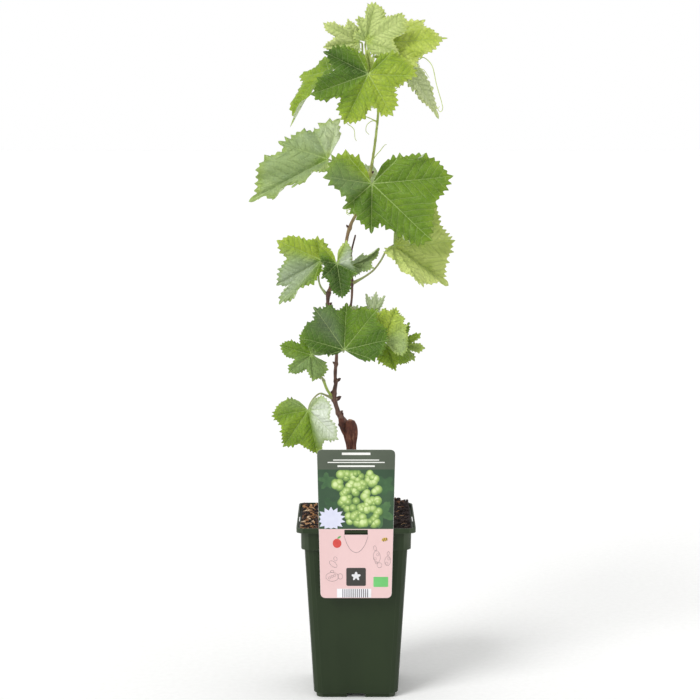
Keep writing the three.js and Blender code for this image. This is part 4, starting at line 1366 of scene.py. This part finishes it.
    def mesh(self, materials):
        """The closed blade: both faces, joined round the margin."""
        columns = self.far.shape[1]
        thick = self.settings.thickness / 2
        steps = [1 if t > 0.5 else 2 if t > 0.27 else 4 if t > 0.13 else 8 for t in self.out]
        index, top, flat, tone, painted_sheen, theta, far = [], [], [], [], [], [], []
        # The lobe tones are partly the leaf's own green and partly painted light and shade; the second row of
        # digits is a painted pale sheen.
        base, lobe_sheen = self.lobes(LOOKS[self.name][0]), self.lobes(LOOKS[self.name][1])
        for r, step in enumerate(steps):
            picked = np.arange(0, columns, step)
            index.append(np.arange(len(picked)) + sum(len(row) for row in index))
            thin = thick * (0.45 if r == 0 else 1)
            top.append(np.stack([self.points[r, picked] + self.normals[r, picked] * thin,
                                 self.points[r, picked] - self.normals[r, picked] * thin], 1))
            flat.append(self.flat[r, picked])
            margin = 0.1 * smooth(0.86, 1.0, self.out[r])
            tone.append(base[picked] * 0.9 + margin)
            fade = smooth(0.02, 0.3, self.out[r]) * (1 - 0.5 * smooth(0.85, 1, self.out[r]))
            # The painted sheen fades out towards the hub and towards the margin.
            painted_sheen.append(lobe_sheen[picked] * fade)
            theta.append(self.theta[picked])
            far.append(self.far[r, picked])
        count = sum(len(row) for row in index)
        hub = self.sheet[0, 0]
        pairs = np.concatenate([*top, [[hub + self.up * thick, hub - self.up * thick]]])
        points = np.concatenate([pairs[:, 0], pairs[:, 1]])
        seed = 40.0 * self.number
        flat = np.concatenate([*flat, [[0, 0, seed]]])
        tone = np.concatenate([*tone, [base[len(base) // 2]]])
        painted_sheen = np.concatenate([*painted_sheen, [0.0]])
        theta, far = np.concatenate([*theta, [0.0]]), np.concatenate([*far, [0.0]])
        faces, sectors = self.faces(index, steps, count)
        sides = [row[0] for row in index] + [count] + [row[-1] for row in index[::-1]]
        rim = list(index[0]) + sides[::-1][1:]
        total = count + 1
        under = [tuple(total + i for i in face[::-1]) for face in faces]
        edge = [(a, b, total + b, total + a) for a, b in zip(rim, rim[1:]) if a != b]
        every = faces + under + edge
        slots = [0] * len(faces) + [1] * len(under) + [0] * len(edge)
        stands_for = ["leaf_" + self.name]
        made = piece("blade_" + self.name, points, every, materials, stands_for, slots)
        tone, painted_sheen, flat, theta, far = (np.concatenate([v, v]) for v in (tone, painted_sheen, flat, theta, far))
        for name, values in (("Tone", tone), ("PaintedSheen", painted_sheen), ("Flat", flat)):
            paint(made.data, name, values)
        sector = np.repeat(np.array(sectors + sectors + [0] * len(edge)), [len(face) for face in every])
        corner = np.array([i for face in every for i in face])
        paint(made.data, "Vein", np.stack(self.vein(theta[corner], far[corner], sector), 1), "CORNER")
        self.bake_map(made.data, flat[corner], corner >= total)
        return made

    def slot(self):
        """The record's finish for this blade."""
        return "young_blade" if self.name in YOUNG else "blade"

    def faces(self, index, steps, hub):
        """The upper face's faces, clockwise rows joined with halving where the step doubles."""
        faces, sectors = [], []
        for r in range(len(index) - 1):
            outer, inner = index[r], index[r + 1]
            ratio = steps[r + 1] // steps[r]
            for k in range(len(inner) - 1):
                sector = int(self.sector[min(k * steps[r + 1], len(self.sector) - 2)])
                if ratio == 1:
                    new = [(inner[k], inner[k + 1], outer[k + 1], outer[k])]
                else:
                    a, b, c = outer[2 * k], outer[2 * k + 1], outer[2 * k + 2]
                    new = [(inner[k], b, a), (inner[k], inner[k + 1], b), (inner[k + 1], c, b)]
                faces += new
                sectors += [sector] * len(new)
        last = index[-1]
        for k in range(len(last) - 1):
            faces.append((hub, last[k + 1], last[k]))
            sectors.append(int(self.sector[min(k * steps[-1], len(self.sector) - 2)]))
        return faces, sectors

    @staticmethod
    def bake_map(mesh, flat, under):
        """The leaf laid flat, with the upper face in the map's left half and the underside in its right."""
        low, high = flat[:, :2].min(0), flat[:, :2].max(0)
        share = 0.02 + 0.96 * (flat[:, :2] - low) / (high - low)
        share[:, 0] = share[:, 0] / 2 + np.where(under, 0.5, 0)
        mesh.uv_layers.new(name="OFBake").uv.foreach_set("vector", share.astype(np.float32).ravel())


class VINE_OT_leaves(bpy.types.Operator):
    """Build the toothed, puckered and veined blades"""

    bl_idname = "vine.leaves"
    bl_label = "Leaf blades"

    def execute(self, context):
        settings = context.scene.vine_leaves
        materials = [leaf_upper(), leaf_under()]
        ribs = Tube()
        for name in leaf_names():
            leaf = Leaf(name, settings)
            leaf.mesh(materials)
            self.ribs(ribs, leaf)
        ribs.made("leaf_ribs", [stalk_skin()], "blade")
        return {"FINISHED"}

    @staticmethod
    def ribs(ribs, leaf):
        """The main veins stand out under the blade as tapering ribs."""
        for spoke in VEINS:
            column = int(np.argmin(np.abs(leaf.spoke - spoke)))
            rows = [r for r in range(len(leaf.out)) if 0.06 < leaf.out[r] < 0.86][::-2]
            if len(rows) < 3:
                continue
            line = leaf.points[rows, column] - leaf.normals[rows, column] * 0.35 * MM
            start = (0.3 + 0.0045 * leaf.size / MM) * MM
            ribs.limb(line, np.linspace(start, 0.12 * MM, len(rows)), 6, tone=0.75)


class VINE_OT_stalks(bpy.types.Operator):
    """Build the leaf stalks, swollen where they join the cane and the blade"""

    bl_idname = "vine.stalks"
    bl_label = "Leaf stalks"

    def execute(self, context):
        draw = random.Random(SEED + 3)
        old, young = stalk_skin(), tendril_skin()
        for name in leaf_names():
            line, radii = resampled(*limb_line("petiole_" + name), 0.8 * MM, (1.3 * MM, 1.2 * MM))
            share = np.linspace(0, 1, len(line))
            radii = radii * (0.82 + 0.35 * np.exp(-share * 9) + 0.2 * np.exp(-(1 - share) * 12))
            joined = Tube()
            joined.limb(line, radii, 10, self.flattened, tone=draw.uniform(0.35, 0.7))
            joined.made("stalk_" + name, [young if name in YOUNG else old], "stalk", ["petiole_" + name])
        return {"FINISHED"}

    @staticmethod
    def flattened(turn, run):
        """A stalk is a little wider than it is deep, all the way along."""
        return 1 + 0.1 * np.cos(turn * 2)


# ---- Stage ----


class VINE_OT_stage(bpy.types.Operator):
    """Set up the floor, the soft lights and the camera"""

    bl_idname = "vine.stage"
    bl_label = "Floor, lights and camera"

    def execute(self, context):
        settings = context.scene.vine_stage
        half = settings.floor / 2
        mesh = bpy.data.meshes.new("studio_floor")
        corners = [(-half, -half, 0), (half, -half, 0), (half, half, 0), (-half, half, 0)]
        mesh.from_pydata(corners, [], [(0, 1, 2, 3)])
        mesh.materials.append(floor_paint())
        floor = bpy.data.objects.new("studio_floor", mesh)
        context.scene.collection.objects.link(floor)
        world = bpy.data.worlds.new("studio")
        world.use_nodes = True
        tree = world.node_tree
        way = add(tree, "TexCoord", {}, out="Generated")
        height = add(tree, "SeparateXYZ", {0: way}, out=2)
        glow = {0: height, 1: 0.1, 2: 0.5, 3: 1.0, 4: settings.room}
        strength = add(tree, "MapRange", glow, interpolation_type="SMOOTHSTEP")
        feed(tree.nodes["Background"], {"Strength": strength, "Color": linear("#ffffff")})
        context.scene.world = world
        for name, way, strength, spread in (
            ("key_light", (-0.75, -0.8, 0.95), 1.75, 0.45),
            ("top_light", (0.35, 0.3, 1.2), 0.6, 1.6),
        ):
            light = bpy.data.objects.new(name, bpy.data.lights.new(name, "SUN"))
            light.data.energy = strength
            light.data.angle = spread
            light.rotation_euler = Vector(way).to_track_quat("Z", "Y").to_euler()
            light.location = Vector(way)
            context.scene.collection.objects.link(light)
        camera = bpy.data.objects.new("camera", bpy.data.cameras.new("camera"))
        camera.location = (-5.6 * MM, -settings.distance, settings.height)
        camera.rotation_euler = (math.pi / 2 - settings.tilt, 0, 0)
        camera.data.lens = settings.lens
        camera.data.clip_start = 0.05
        context.scene.collection.objects.link(camera)
        context.scene.camera = camera
        context.scene.view_settings.view_transform = "Standard"
        return {"FINISHED"}


# ---- Panel and registration ----

STEPS = (
    VINE_OT_stage, VINE_OT_pot, VINE_OT_soil, VINE_OT_card, VINE_OT_stems, VINE_OT_buds, VINE_OT_tendrils,
    VINE_OT_leaves, VINE_OT_stalks,
)
SETTINGS = {
    "vine_pot": PotSettings,
    "vine_card": CardSettings,
    "vine_stems": StemSettings,
    "vine_leaves": LeafSettings,
    "vine_stage": StageSettings,
}


class VINE_PT_build(bpy.types.Panel):
    """Lists the vine's settings and the steps that build it"""

    bl_idname = "VINE_PT_build"
    bl_label = "Potted Grapevine"
    bl_space_type = "VIEW_3D"
    bl_region_type = "UI"
    bl_category = "Vine"

    def draw(self, context):
        for group in SETTINGS:
            box = self.layout.box()
            settings = getattr(context.scene, group)
            for key in settings.bl_rna.properties.keys():
                if key not in ("rna_type", "name"):
                    box.prop(settings, key)
        for step in STEPS:
            self.layout.operator(step.bl_idname)


def register():
    """Adds the settings, the steps and the panel to Blender."""
    for group in (*SETTINGS.values(), *STEPS, VINE_PT_build):
        bpy.utils.register_class(group)
    for name, group in SETTINGS.items():
        setattr(bpy.types.Scene, name, bpy.props.PointerProperty(type=group))


def unregister():
    """Takes them away again."""
    for name in SETTINGS:
        delattr(bpy.types.Scene, name)
    for group in (VINE_PT_build, *STEPS[::-1], *SETTINGS.values()):
        bpy.utils.unregister_class(group)


def main():
    """Builds everything in order."""
    register()
    for step in STEPS:
        area, name = step.bl_idname.split(".")
        getattr(getattr(bpy.ops, area), name)()
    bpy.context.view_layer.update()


if __name__ == "__main__":
    main()
